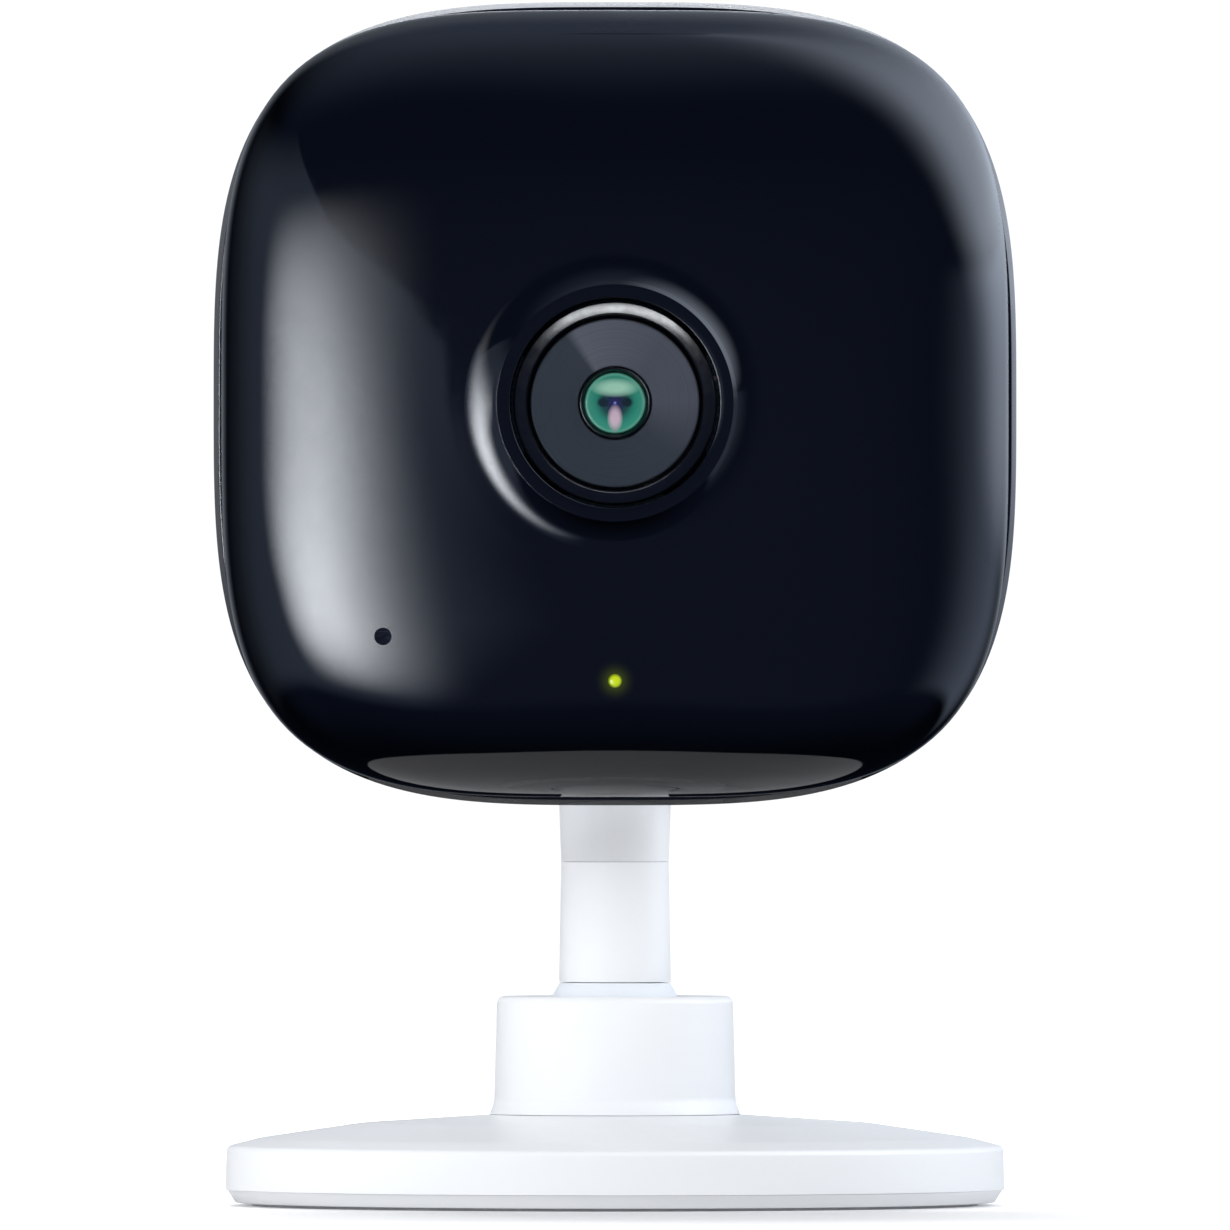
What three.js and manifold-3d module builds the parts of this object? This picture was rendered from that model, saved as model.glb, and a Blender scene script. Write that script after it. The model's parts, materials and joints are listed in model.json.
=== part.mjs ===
// A desk-top security camera: a rounded-square head on a ball-jointed neck and a weighted round base.
// Millimetres, +Z up, front towards -Y. The origin is the centre of the base's underside, on the floor.
import * as THREE from "three";
import { mergeVertices } from "three/addons/utils/BufferGeometryUtils.js";
import Module from "manifold-3d";

const wasm = await Module();
wasm.setup();

// ---------------------------------------------------------------- driving dimensions
// Heights of the base, hub and neck are from the floor. The head's pieces are placed from the lens
// axis, in a group of their own. Depths run back from the neck's axis, so the front is negative.
const RUNNING_GAP = 0.3;

const BASE = { radius: 32.6, band: 1.5, rimTop: 5.1, top: 7.6, wall: 2, bore: 3.3 };
const HUB = { radius: 10.5, topRadius: 9.85, bottom: 7.9, top: 17.5, slotHalf: 5, slotFloor: 13.3 };
const BALL = { radius: 5.7, height: 15.23, flat: 10.6 };
const NECK = { foot: 18.75, footRadius: 4.67, seam: 28.75, seamRadius: 4.5, bore: 2.9 };
const BOLT = { radius: 1.5, headRadius: 3, bottom: 22.5, underHead: 38.5, top: 39.6 };
const HEAD = { height: 67, half: 33.5, square: 3.34, wall: 1.8 };
const COVER = { half: 32.85, square: 3.7, front: -19, roll: 10, hole: 8.75 };
// The lip round the lens well: a flat crest that falls away to its foot on the face.
const LIP = { crest: 9.85, foot: 12.55, rise: 0.95, fillet: 0.15 };
const TRIM = { front: -8.7, back: -6.8, wall: 2.2, chamfer: 0.5 };
const HOUSING = { half: 33.2, front: -6.5, back: 13 };
const LENS = { plate: 7, rim: 2.95, glass: 2.55, barrel: 6, front: -19.1 };
const HOLDER = { width: 15.2, window: 10.6, front: -12.6, thread: -9.6 };
const LED = { radius: 0.5, down: 23.1 };
const MIC = { radius: 0.725, left: 19.3, down: 19.4 };
const CAMERA_BOARD = { front: -5.6, back: -4.6 };
const CHASSIS = { half: 28.5, front: -4.2, back: -2.6 };
const BOSS = { across: 25, up: 12, radius: 2.3, pilot: 1.3 };
const MAIN_BOARD = { front: 2.4, back: 3.6, halfWidth: 22, bottom: -25.5, top: 22 };
const USB = { down: 22, width: 12, height: 7.5, floor: 7, mouth: 7.6 };
const RESET = { across: 12.5, down: 22, radius: 1.25, innerEnd: 6.2 };
const SPEAKER = { up: 13, radius: 8, front: 4.2, back: 10.2, holeRadius: 0.8, pitch: 3 };
const BASE_SCREWS = { count: 3, circle: 17, shank: 1.1, head: 2, headHeight: 0.45, length: 4, seat: 0.78 };

// Segments round a full turn.
const TINY = 8;
const SMALL = 12;
const MEDIUM = 20;
const LARGE = 40;

// ---------------------------------------------------------------- materials
const FINISHES = {
  glossBlack: { color: 0x0b0f18, roughness: 0.12, metalness: 0 },
  satinGraphite: { color: 0x33383f, roughness: 0.45, metalness: 0.3 },
  white: { color: 0xf2f4f8, roughness: 0.4, metalness: 0 },
  coolWhite: { color: 0xdfe4ee, roughness: 0.45, metalness: 0 },
  greyNylon: { color: 0x9a9ea6, roughness: 0.6, metalness: 0 },
  blackPlastic: { color: 0x17181b, roughness: 0.55, metalness: 0 },
  rubber: { color: 0x8f949c, roughness: 0.9, metalness: 0 },
  steel: { color: 0xb9bcc2, roughness: 0.35, metalness: 1 },
  aluminium: { color: 0xc9ccd1, roughness: 0.4, metalness: 1 },
  brass: { color: 0xc9a648, roughness: 0.35, metalness: 1 },
  glass: { color: 0x1d5a4a, roughness: 0.03, metalness: 0 },
  clearGlass: { color: 0xcfe4ea, roughness: 0.05, metalness: 0 },
  lamp: { color: 0xcde129, roughness: 0.3, metalness: 0 },
  board: { color: 0x1f5b3a, roughness: 0.5, metalness: 0 },
  chip: { color: 0x202226, roughness: 0.5, metalness: 0 },
};

// ---------------------------------------------------------------- solids, joins and cuts
function solid(geometry) {
  const bare = geometry.clone();
  bare.deleteAttribute("normal");
  bare.deleteAttribute("uv");
  const merged = mergeVertices(bare, 1e-3);
  return new wasm.Manifold(
    new wasm.Mesh({
      numProp: 3,
      vertProperties: new Float32Array(merged.attributes.position.array),
      triVerts: new Uint32Array(merged.index.array),
    }),
  );
}

function geometryOf(manifold) {
  const mesh = manifold.getMesh();
  const geometry = new THREE.BufferGeometry();
  geometry.setAttribute("position", new THREE.BufferAttribute(mesh.vertProperties, 3));
  geometry.setIndex(new THREE.BufferAttribute(mesh.triVerts, 1));
  geometry.computeVertexNormals();
  return geometry;
}

function join(geometry, ...others) {
  return geometryOf(others.reduce((sum, other) => sum.add(solid(other)), solid(geometry)));
}

function cut(geometry, ...tools) {
  return geometryOf(tools.reduce((rest, tool) => rest.subtract(solid(tool)), solid(geometry)));
}

// ---------------------------------------------------------------- shapes
// A solid turned about Y from an outline of [radius, place along Y]. An outline that starts on the
// axis ends on it too; any other is a ring and is closed here.
function turned(outline, segments = SMALL) {
  const points = outline.map(([radius, along]) => new THREE.Vector2(radius, along));
  if (THREE.ShapeUtils.area(points) < 0) points.reverse();
  if (points[0].x > 0) points.push(points[0].clone());
  return new THREE.LatheGeometry(points, segments);
}

// The same, turned about Z: the outline is [radius, height].
function turnedUp(outline, segments = SMALL) {
  return turned(outline, segments).rotateX(Math.PI / 2);
}

// A round bar along Y, from one depth to another.
function bar(radius, from, to, segments = SMALL) {
  return turned([[0, from], [radius, from], [radius, to], [0, to]], segments);
}

function ring(inner, outer, from, to, segments = SMALL) {
  return turned([[inner, from], [outer, from], [outer, to], [inner, to]], segments);
}

function ringUp(inner, outer, bottom, top, segments = SMALL) {
  return ring(inner, outer, bottom, top, segments).rotateX(Math.PI / 2);
}

function barUp(radius, bottom, top, segments = SMALL) {
  return bar(radius, bottom, top, segments).rotateX(Math.PI / 2);
}

// A box from its lowest to its highest corner.
function block([x0, y0, z0], [x1, y1, z1]) {
  const box = new THREE.BoxGeometry(x1 - x0, y1 - y0, z1 - z0);
  return box.translate((x0 + x1) / 2, (y0 + y1) / 2, (z0 + z1) / 2);
}

// A box about a point of the lens-axis plane, from one depth to another.
function slab(x, z, width, height, from, to) {
  return block([x - width / 2, from, z - height / 2], [x + width / 2, to, z + height / 2]);
}

// How far a rounded square of half-width 1 reaches at an angle.
function squareReach(angle, square) {
  const across = Math.abs(Math.cos(angle)) ** square;
  const up = Math.abs(Math.sin(angle)) ** square;
  return (across + up) ** (-1 / square);
}

// Turns the rings of a solid turned about Y into rounded squares: not at all inside the radius
// roundTo, fully from the radius squareFrom outwards.
function squareOff(geometry, square, roundTo = 0, squareFrom = 1) {
  const place = geometry.attributes.position;
  for (let i = 0; i < place.count; i++) {
    const x = place.getX(i);
    const z = place.getZ(i);
    const share = THREE.MathUtils.smoothstep(Math.hypot(x, z), roundTo, squareFrom);
    const reach = 1 + share * (squareReach(Math.atan2(z, x), square) - 1);
    place.setX(i, x * reach);
    place.setZ(i, z * reach);
  }
  return geometry;
}

// A node of the part: one named mesh with a material of its own.
function piece(group, name, geometry, finish, x = 0, y = 0, z = 0) {
  const mesh = new THREE.Mesh(geometry, new THREE.MeshStandardMaterial(FINISHES[finish]));
  mesh.name = name;
  mesh.position.set(x, y, z);
  group.add(mesh);
}

// Points of a sphere's outline, from one height above its centre to another.
function sphereArc(radius, centre, from, to, steps) {
  const start = Math.asin(from / radius);
  const end = Math.asin(to / radius);
  return Array.from({ length: steps + 1 }, (_, i) => {
    const angle = start + ((end - start) * i) / steps;
    return [radius * Math.cos(angle), centre + radius * Math.sin(angle)];
  });
}

// ---------------------------------------------------------------- base
function baseScrewPlaces() {
  return Array.from({ length: BASE_SCREWS.count }, (_, i) => {
    const angle = Math.PI / 2 + (i * 2 * Math.PI) / BASE_SCREWS.count;
    return [BASE_SCREWS.circle * Math.cos(angle), BASE_SCREWS.circle * Math.sin(angle)];
  });
}

// A shallow dome with a rolled rim, hollow underneath, with a bore for the hub and screw bosses.
function baseCover() {
  const { radius, band, rimTop, top, wall, bore } = BASE;
  const skin = radius - wall + 0.2;
  const underside = top - wall;
  const shell = turnedUp(
    [
      [radius, band + 0.05],
      [radius - 0.15, rimTop - 0.3],
      [radius - 0.6, rimTop + 0.15],
      [radius - 2.9, rimTop + 0.7],
      [HUB.radius + 0.3, top],
      [bore, top],
      [bore, underside],
      [18, underside - 0.5],
      [skin, underside - 2.4],
      [skin, band + 0.05],
    ],
    LARGE,
  );
  const bossTop = underside + 0.5;
  const bosses = baseScrewPlaces().map(([x, y]) =>
    barUp(BASE_SCREWS.head + 0.4, band + 0.2, bossTop, TINY).translate(x, y, 0),
  );
  const pilots = baseScrewPlaces().map(([x, y]) =>
    barUp(BASE_SCREWS.shank + 0.1, band, bossTop - 0.6, TINY).translate(x, y, 0),
  );
  return cut(join(shell, ...bosses), ...pilots);
}

const PAD = { inner: 24.2, outer: 30.4, height: 0.6 };
const BALLAST = { inner: 6.5, outer: 27, bottom: 1.9, top: 3.6 };
const PAN_WASHER = { inner: 3.2, outer: 5.6, bottom: 4.3, top: 5.3 };

// The underside plate, with a groove for the foot pad and counterbored screw holes.
function bottomPlate() {
  const bottom = 0.25;
  const top = BASE.band - 0.15;
  const disc = turnedUp(
    [[0, bottom], [BASE.radius - 0.85, bottom], [BASE.radius - 0.15, top], [0, top]],
    LARGE,
  );
  const groove = ringUp(PAD.inner - 0.2, PAD.outer + 0.2, 0, PAD.height + 0.15, LARGE);
  const holes = baseScrewPlaces().flatMap(([x, y]) => [
    barUp(BASE_SCREWS.head + 0.15, 0, BASE_SCREWS.seat + 0.07, TINY).translate(x, y, 0),
    barUp(BASE_SCREWS.shank + 0.2, 0, BASE.band, TINY).translate(x, y, 0),
  ]);
  return cut(disc, groove, ...holes);
}

function ballastPlate() {
  const { inner, outer, bottom, top } = BALLAST;
  const plate = ringUp(inner, outer, bottom, top, LARGE);
  const holes = baseScrewPlaces().map(([x, y]) =>
    barUp(BASE_SCREWS.head + 0.8, bottom - 1, top + 1, TINY).translate(x, y, 0),
  );
  return cut(plate, ...holes);
}

// A pan-headed screw along Y, with the underside of its head at 0 and its point away from it.
function screw(shank, head, headHeight, length) {
  const outline = [
    [0, -headHeight],
    [head * 0.85, -headHeight],
    [head, 0],
    [shank, 0],
    [shank, length - shank],
    [0, length],
  ];
  return turned(outline, TINY);
}

function buildBase(base) {
  piece(base, "base_cover", baseCover(), "white");
  piece(base, "base_bottom_plate", bottomPlate(), "coolWhite");
  piece(base, "foot_pad", ringUp(PAD.inner, PAD.outer, 0, PAD.height, LARGE), "rubber");
  piece(base, "ballast_plate", ballastPlate(), "steel");
  const { inner, outer, bottom, top } = PAN_WASHER;
  piece(base, "pan_friction_washer", ringUp(inner, outer, bottom, top), "greyNylon");
  const { shank, head, headHeight, length, seat } = BASE_SCREWS;
  baseScrewPlaces().forEach(([x, y], i) => {
    const upright = screw(shank, head, headHeight, length).rotateX(Math.PI / 2);
    piece(base, `base_screw_${i + 1}`, upright, "steel", x, y, seat);
  });
}

// ---------------------------------------------------------------- hub
const HUB_PLATE = { radius: 9, bottom: 8.05, top: 8.7, spigot: 3, spigotBottom: 2.7 };
const HUB_SCREW = { across: 8, shank: 0.7, bottom: 8.1, length: 4.5 };
const CAVITY = { seat: 5.9, bore: 6.75, shoulder: 12.9, mouth: 5.4 };
const PAN_CLIP = { outer: 5, bottom: 3.2, top: 4 };
const CUP_SPRING = { inner: 3, outer: 6.2, bottom: 8.8, dish: 0.2, gauge: 0.15 };

// The socket body: a slightly tapered drum. The ball goes in from below and bears on the upper
// seat, and the slot at the back lets the neck fold down.
function hubShell() {
  const { radius, topRadius, bottom, top, slotHalf, slotFloor } = HUB;
  const drum = turnedUp(
    [
      [radius, bottom],
      [radius - 0.4, bottom + 1.3],
      [topRadius, top - 0.5],
      [topRadius - 0.5, top],
      [CAVITY.mouth, top],
      [CAVITY.seat, BALL.height + 0.6],
      [CAVITY.seat, CAVITY.shoulder + 0.5],
      [CAVITY.bore, CAVITY.shoulder],
      [CAVITY.bore, HUB_PLATE.top + 0.2],
      [HUB_PLATE.radius + 0.2, HUB_PLATE.top + 0.2],
      [HUB_PLATE.radius + 0.2, bottom],
    ],
    LARGE,
  );
  const slot = block([-slotHalf, 2, slotFloor], [slotHalf, radius + 1, top + 1]);
  const pilots = [-1, 1].map((side) =>
    barUp(HUB_SCREW.shank + 0.1, bottom, HUB_SCREW.bottom + HUB_SCREW.length + 0.1, TINY).translate(
      side * HUB_SCREW.across, 0, 0,
    ),
  );
  return cut(drum, slot, ...pilots);
}

// The plate that closes the hub from below; its hollow spigot turns in the base's bore.
function hubPlate() {
  const { radius, bottom, top, spigot, spigotBottom } = HUB_PLATE;
  const spigotBore = 1.6;
  const disc = turnedUp(
    [
      [spigotBore, spigotBottom],
      [spigot, spigotBottom],
      [spigot, bottom],
      [radius, bottom],
      [radius, top],
      [spigotBore, top],
    ],
    MEDIUM,
  );
  const holes = [-1, 1].map((side) =>
    barUp(HUB_SCREW.shank + 0.2, bottom - 1, top + 1, TINY).translate(side * HUB_SCREW.across, 0, 0),
  );
  return cut(disc, ...holes);
}

// A nylon ring with a spherical seat under the ball.
function ballCup() {
  const seat = BALL.radius + 0.15;
  const bottom = 9.25;
  const innerRadius = 2.6;
  const outerRadius = 6.5;
  const innerDrop = Math.sqrt(seat ** 2 - innerRadius ** 2);
  const rimDrop = 2.7;
  const arc = sphereArc(seat, BALL.height, -innerDrop, -rimDrop, 3);
  return turnedUp(
    [
      [innerRadius, bottom],
      [outerRadius, bottom],
      [outerRadius, BALL.height - rimDrop],
      ...arc.reverse(),
    ],
    MEDIUM,
  );
}

// A spring washer whose inner edge stands higher than its outer edge by its dish.
function dishedWasher({ inner, outer, bottom, dish, gauge }, segments) {
  const outline = [
    [inner, bottom + dish],
    [outer, bottom],
    [outer, bottom + gauge],
    [inner, bottom + dish + gauge],
  ];
  return turnedUp(outline, segments);
}

function buildHub(hub) {
  piece(hub, "hub_shell", hubShell(), "white");
  piece(hub, "hub_base_plate", hubPlate(), "coolWhite");
  piece(hub, "ball_cup", ballCup(), "greyNylon");
  piece(hub, "cup_spring", dishedWasher(CUP_SPRING, MEDIUM), "steel");
  const clip = ringUp(HUB_PLATE.spigot + 0.1, PAN_CLIP.outer, PAN_CLIP.bottom, PAN_CLIP.top);
  piece(hub, "pan_retaining_clip", clip, "steel");
  [-1, 1].forEach((side, i) => {
    const { across, shank, bottom, length } = HUB_SCREW;
    const grub = barUp(shank, 0, length, TINY);
    piece(hub, `hub_screw_${i + 1}`, grub, "steel", side * across, 0, bottom);
  });
}

// ---------------------------------------------------------------- neck
// The ball and the stem that carries the sleeve, drilled from the top for the swivel bolt.
function ballStud() {
  const stem = NECK.bore - 0.2;
  const stemTop = NECK.seam - 1;
  const stemFoot = Math.sqrt(BALL.radius ** 2 - (NECK.footRadius - 0.1) ** 2);
  const arc = sphereArc(BALL.radius, BALL.height, BALL.flat - BALL.height, stemFoot, 7);
  const neckFoot = BALL.height + stemFoot;
  const bore = BOLT.radius + 0.1;
  return turnedUp(
    [
      [0, BALL.flat],
      ...arc,
      [stem, neckFoot],
      [stem, stemTop],
      [bore, stemTop],
      [bore, BOLT.bottom - 0.3],
      [0, BOLT.bottom - 0.3],
    ],
    MEDIUM,
  );
}

const WASHER = { inner: 1.9, outer: 3.6, half: 0.6 };
const SWIVEL_SPRING = { inner: 1.8, outer: 3.4, bottom: 37.75, dish: 0.25, gauge: 0.2 };

function neckSleeve() {
  const top = NECK.seam - 0.15;
  const counterbore = NECK.seam - WASHER.half - 0.15;
  return turnedUp(
    [
      [NECK.footRadius - 0.12, NECK.foot],
      [NECK.footRadius, NECK.foot + 0.15],
      [NECK.seamRadius, top - 0.12],
      [NECK.seamRadius - 0.12, top],
      [WASHER.outer + 0.2, top],
      [WASHER.outer + 0.2, counterbore],
      [NECK.bore, counterbore],
      [NECK.bore, NECK.foot],
    ],
    MEDIUM,
  );
}

function swivelBolt() {
  const { radius, headRadius, bottom, underHead, top } = BOLT;
  return turnedUp([
    [0, bottom],
    [radius, bottom + 0.4],
    [radius, underHead],
    [headRadius, underHead],
    [headRadius, top - 0.3],
    [headRadius - 0.3, top],
    [0, top],
  ]);
}

function buildNeck(neck) {
  piece(neck, "ball_stud", ballStud(), "coolWhite");
  piece(neck, "neck_sleeve", neckSleeve(), "white");
  const { inner, outer, half } = WASHER;
  const washer = ringUp(inner, outer, NECK.seam - half, NECK.seam + half);
  piece(neck, "swivel_friction_washer", washer, "greyNylon");
  piece(neck, "swivel_bolt", swivelBolt(), "steel");
  piece(neck, "swivel_spring_washer", dishedWasher(SWIVEL_SPRING), "steel");
}

// ---------------------------------------------------------------- head: shells
// The collar that carries the head on the neck; its flange bears inside the housing's floor.
// Its heights are from the floor, so it is lowered by the height of the head's group.
function headCollar() {
  const bottom = NECK.seam + 0.15;
  const headFoot = HEAD.height - HEAD.half;
  const flange = { radius: 6.2, bottom: 36.8, top: 37.5 };
  const bore = BOLT.radius + RUNNING_GAP;
  return turnedUp(
    [
      [NECK.seamRadius - 0.12, bottom],
      [NECK.seamRadius, bottom + 0.12],
      [NECK.footRadius, headFoot - 0.2],
      [NECK.footRadius, flange.bottom],
      [flange.radius, flange.bottom],
      [flange.radius, flange.top],
      [bore, flange.top],
      [bore, NECK.seam + WASHER.half + 0.15],
      [WASHER.outer + 0.2, NECK.seam + WASHER.half + 0.15],
      [WASHER.outer + 0.2, bottom],
    ],
    MEDIUM,
  ).translate(0, 0, -HEAD.height);
}

// How far back the cover's pillow face has rolled at a share of its half-width: 0 to 1.
function pillow(share) {
  return 1 - (1 - share ** 4) ** (1 / 2.2);
}

// The glossy front cover: a pillow face that rolls back all round, with a raised round lip about
// the lens well, and holes for the light pipe and the microphone.
function frontCover() {
  const { half, square, front, roll, hole } = COVER;
  const wall = HEAD.wall;
  const outside = [0.5, 0.7, 0.83, 0.93, 0.985, 1].map((share) => [
    half * share,
    front + roll * pillow(share),
  ]);
  const inside = [1, 0.93, 0.75, 0.5].map((share) => [
    (half - wall) * share,
    front + wall + (roll - wall) * pillow(share),
  ]);
  const { crest, foot, rise, fillet } = LIP;
  const brim = [
    [hole, front + wall],
    [hole, front - rise + fillet],
    [hole + fillet, front - rise],
  ];
  const flank = [0, 0.25, 0.5, 0.75, 1].map((share) => {
    const radius = crest + (foot - crest) * share;
    return [radius, front + roll * pillow(radius / half) - rise * (1 - share) ** 2];
  });
  const shell = turned([...brim, ...flank, ...outside, ...inside], LARGE);
  squareOff(shell, square, hole + 5, half * 0.9);
  const holeEnd = front + roll - 1;
  const ledHole = bar(LED.radius + 0.1, front - 1, holeEnd, TINY).translate(0, 0, -LED.down);
  const micHole = bar(MIC.radius, front - 1, holeEnd, TINY).translate(-MIC.left, 0, -MIC.down);
  return cut(shell, ledHole, micHole);
}

// The band between the cover and the housing, chamfered towards the cover.
function trimRing() {
  const half = HEAD.half;
  const { front, back, wall, chamfer } = TRIM;
  const outline = [
    [half - wall, front],
    [half - chamfer, front],
    [half, front + chamfer],
    [half, back],
    [half - wall, back],
  ];
  return squareOff(turned(outline, LARGE), HEAD.square);
}

// The rear housing: a rounded-square cup that rolls to a flat back, with screw bosses, the plug
// recess, the reset button's hole, the speaker's holes and the neck's hole.
function rearHousing() {
  const { half, front, back } = HOUSING;
  const wall = HEAD.wall;
  const outside = [
    [half, front],
    [half, 3],
    [half - 0.9, 7.2],
    [half - 3.6, 11.2],
    [half - 8, back],
    [0, back],
  ];
  const inside = [
    [half - wall, front],
    [half - wall, 3],
    [half - wall - 2, 9],
    [half - wall - 6.5, back - wall],
    [0, back - wall],
  ];
  const cup = cut(
    squareOff(turned(outside.concat([[0, front]]), LARGE), HEAD.square),
    squareOff(turned([[0, front - 1], [half - wall, front - 1], ...inside], LARGE), HEAD.square),
  );
  const bosses = bossPlaces().map(([x, z]) =>
    bar(BOSS.radius, CHASSIS.back + RUNNING_GAP, back - 1, TINY).translate(x, 0, z),
  );
  const pocketWall = 1.2;
  const pocket = slab(0, -USB.down, USB.width + 2 * pocketWall, USB.height + 2 * pocketWall,
    USB.floor - 1, back - 0.5);
  const tools = [
    ...bossPlaces().map(([x, z]) => bar(BOSS.pilot, -4, 5, TINY).translate(x, 0, z)),
    slab(0, -USB.down, USB.width, USB.height, USB.floor, back + 1),
    slab(0, -USB.down, 9.6, 4, USB.floor - 2, USB.floor + 1),
    bar(RESET.radius + 0.25, 8, back + 1).translate(RESET.across, 0, -RESET.down),
    barUp(NECK.footRadius + RUNNING_GAP, -36, -30, MEDIUM),
    ...speakerHoles(),
  ];
  return cut(join(cup, ...bosses, pocket), ...tools);
}

function bossPlaces() {
  return [-1, 1].flatMap((x) => [-1, 1].map((z) => [x * BOSS.across, z * BOSS.up]));
}

// Rows of holes within a circle, behind the speaker.
function speakerHoles() {
  const reach = [-2, -1, 0, 1, 2];
  const places = reach.flatMap((column) => reach.map((row) => [column, row]));
  return places
    .filter(([column, row]) => Math.hypot(column, row) < 2.3)
    .map(([column, row]) =>
      bar(SPEAKER.holeRadius, 10, HOUSING.back + 1, 6).translate(
        column * SPEAKER.pitch,
        0,
        SPEAKER.up + row * SPEAKER.pitch,
      ),
    );
}

// ---------------------------------------------------------------- head: lens
function buildLens(head) {
  const { plate, rim, glass, barrel, front } = LENS;
  // A polished, very shallow cone between the well and the face plate.
  const surround = [
    [plate + 0.3, front + 4],
    [plate + 0.3, front - 0.1],
    [plate + 0.45, front - 0.25],
    [COVER.hole - 0.3, front - 0.04],
    [COVER.hole - 0.3, front + 4],
  ];
  piece(head, "lens_surround", turned(surround, LARGE), "glossBlack");
  const facePlate = [
    [rim + 0.2, front + 0.15],
    [plate - 0.15, front],
    [plate, front + 0.15],
    [plate, front + 0.9],
    [rim + 0.2, front + 0.9],
  ];
  piece(head, "lens_face_plate", turned(facePlate, LARGE), "satinGraphite");
  const retainer = [
    [glass + 0.1, front + 0.9],
    [glass + 0.1, front + 0.1],
    [rim - 0.1, front - 0.1],
    [rim, front + 0.05],
    [rim, front + 0.9],
  ];
  piece(head, "lens_retaining_ring", turned(retainer, MEDIUM), "glossBlack");
  const dome = [[0, front - 0.05], [1.3, front + 0.09], [glass, front + 0.5], [glass, front + 1.1],
    [0, front + 1.1]];
  piece(head, "lens_front_element", turned(dome, MEDIUM), "glass");
  const barrelFront = front + 1.2;
  const barrelBack = HOLDER.thread - RUNNING_GAP;
  piece(head, "lens_barrel", ring(glass + 0.15, barrel, barrelFront, barrelBack, MEDIUM),
    "blackPlastic");
  const rearRadius = glass - 0.05;
  const rearLens = [[0, -12.8], [rearRadius, -12.3], [rearRadius, -11.3], [0, -11.0]];
  piece(head, "lens_rear_element", turned(rearLens), "clearGlass");
  piece(head, "lens_holder", lensHolder(), "blackPlastic");
  piece(head, "ir_cut_filter", slab(0, 0, 8, 8, -9.2, -8.7), "clearGlass");
  piece(head, "image_sensor", slab(0, 0, 8.4, 7.6, -7.4, -5.9), "chip");
}

// A square block threaded for the barrel in front and open over the sensor behind.
function lensHolder() {
  const { width, window, front, thread } = HOLDER;
  const back = CAMERA_BOARD.front - RUNNING_GAP;
  return cut(
    slab(0, 0, width, width, front, back),
    bar(LENS.barrel + 0.15, front - 1, thread, MEDIUM),
    slab(0, 0, window, window, thread - 0.1, back + 1),
  );
}

// ---------------------------------------------------------------- head: electronics
function cameraBoard() {
  const { front, back } = CAMERA_BOARD;
  return block([-22.5, front, -25.5], [15, back, 12]);
}

function buildFrontElectronics(head) {
  const onBoard = CAMERA_BOARD.front - RUNNING_GAP;
  piece(head, "camera_board", cameraBoard(), "board");
  const ledBack = onBoard - 1;
  const pipe = [
    [0, -17.9],
    [LED.radius, -17.85],
    [LED.radius, -15.6],
    [1.6, -14.6],
    [1.6, ledBack - RUNNING_GAP],
    [0, ledBack - RUNNING_GAP],
  ];
  piece(head, "led_light_pipe", turned(pipe, TINY), "lamp", 0, 0, -LED.down);
  piece(head, "status_led", slab(0, -LED.down, 1.6, 1.2, ledBack, onBoard), "clearGlass");
  const micFront = onBoard - 1.1;
  piece(head, "microphone", slab(-MIC.left, -MIC.down, 3.8, 3, micFront, onBoard), "steel");
  piece(head, "mic_gasket", ring(MIC.radius + 0.2, 1.9, -14.8, micFront - RUNNING_GAP), "rubber",
    -MIC.left, 0, -MIC.down);
  [-1, 1].forEach((side, i) => {
    piece(head, `ir_led_${i + 1}`, slab(side * 11.5, -12, 3, 3, onBoard - 1.5, onBoard), "chip");
  });
  piece(head, "light_sensor", slab(0, 10, 2, 1.6, onBoard - 0.9, onBoard), "chip");
}

// A rounded-square frame screwed to the housing's bosses, notched over the neck's bolt.
function innerChassis() {
  const { half, front, back } = CHASSIS;
  const plate = squareOff(bar(half, front, back, LARGE), HEAD.square);
  const window = slab(0, -2, 30, 34, front - 1, back + 1);
  const notch = block([-7, front - 1, -half - 1], [7, back + 1, -24]);
  const holes = bossPlaces().map(([x, z]) =>
    bar(BOSS.pilot, front - 1, back + 1, TINY).translate(x, 0, z),
  );
  return cut(plate, window, notch, ...holes);
}

function mainBoard() {
  const { front, back, halfWidth, bottom, top } = MAIN_BOARD;
  return block([-halfWidth, front, bottom], [halfWidth, back, top]);
}

// The charging socket's shell, open at the back, with its tongue.
function usbSocket() {
  const onBoard = MAIN_BOARD.back + RUNNING_GAP;
  const shell = slab(0, -USB.down, 9, 3.3, onBoard, USB.mouth);
  const mouth = slab(0, -USB.down, 8.2, 2.5, onBoard + 1, USB.mouth + 1);
  const tongue = slab(0, -USB.down, 6.4, 0.7, onBoard + 0.5, USB.mouth - 0.5);
  return join(cut(shell, mouth), tongue);
}

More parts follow.
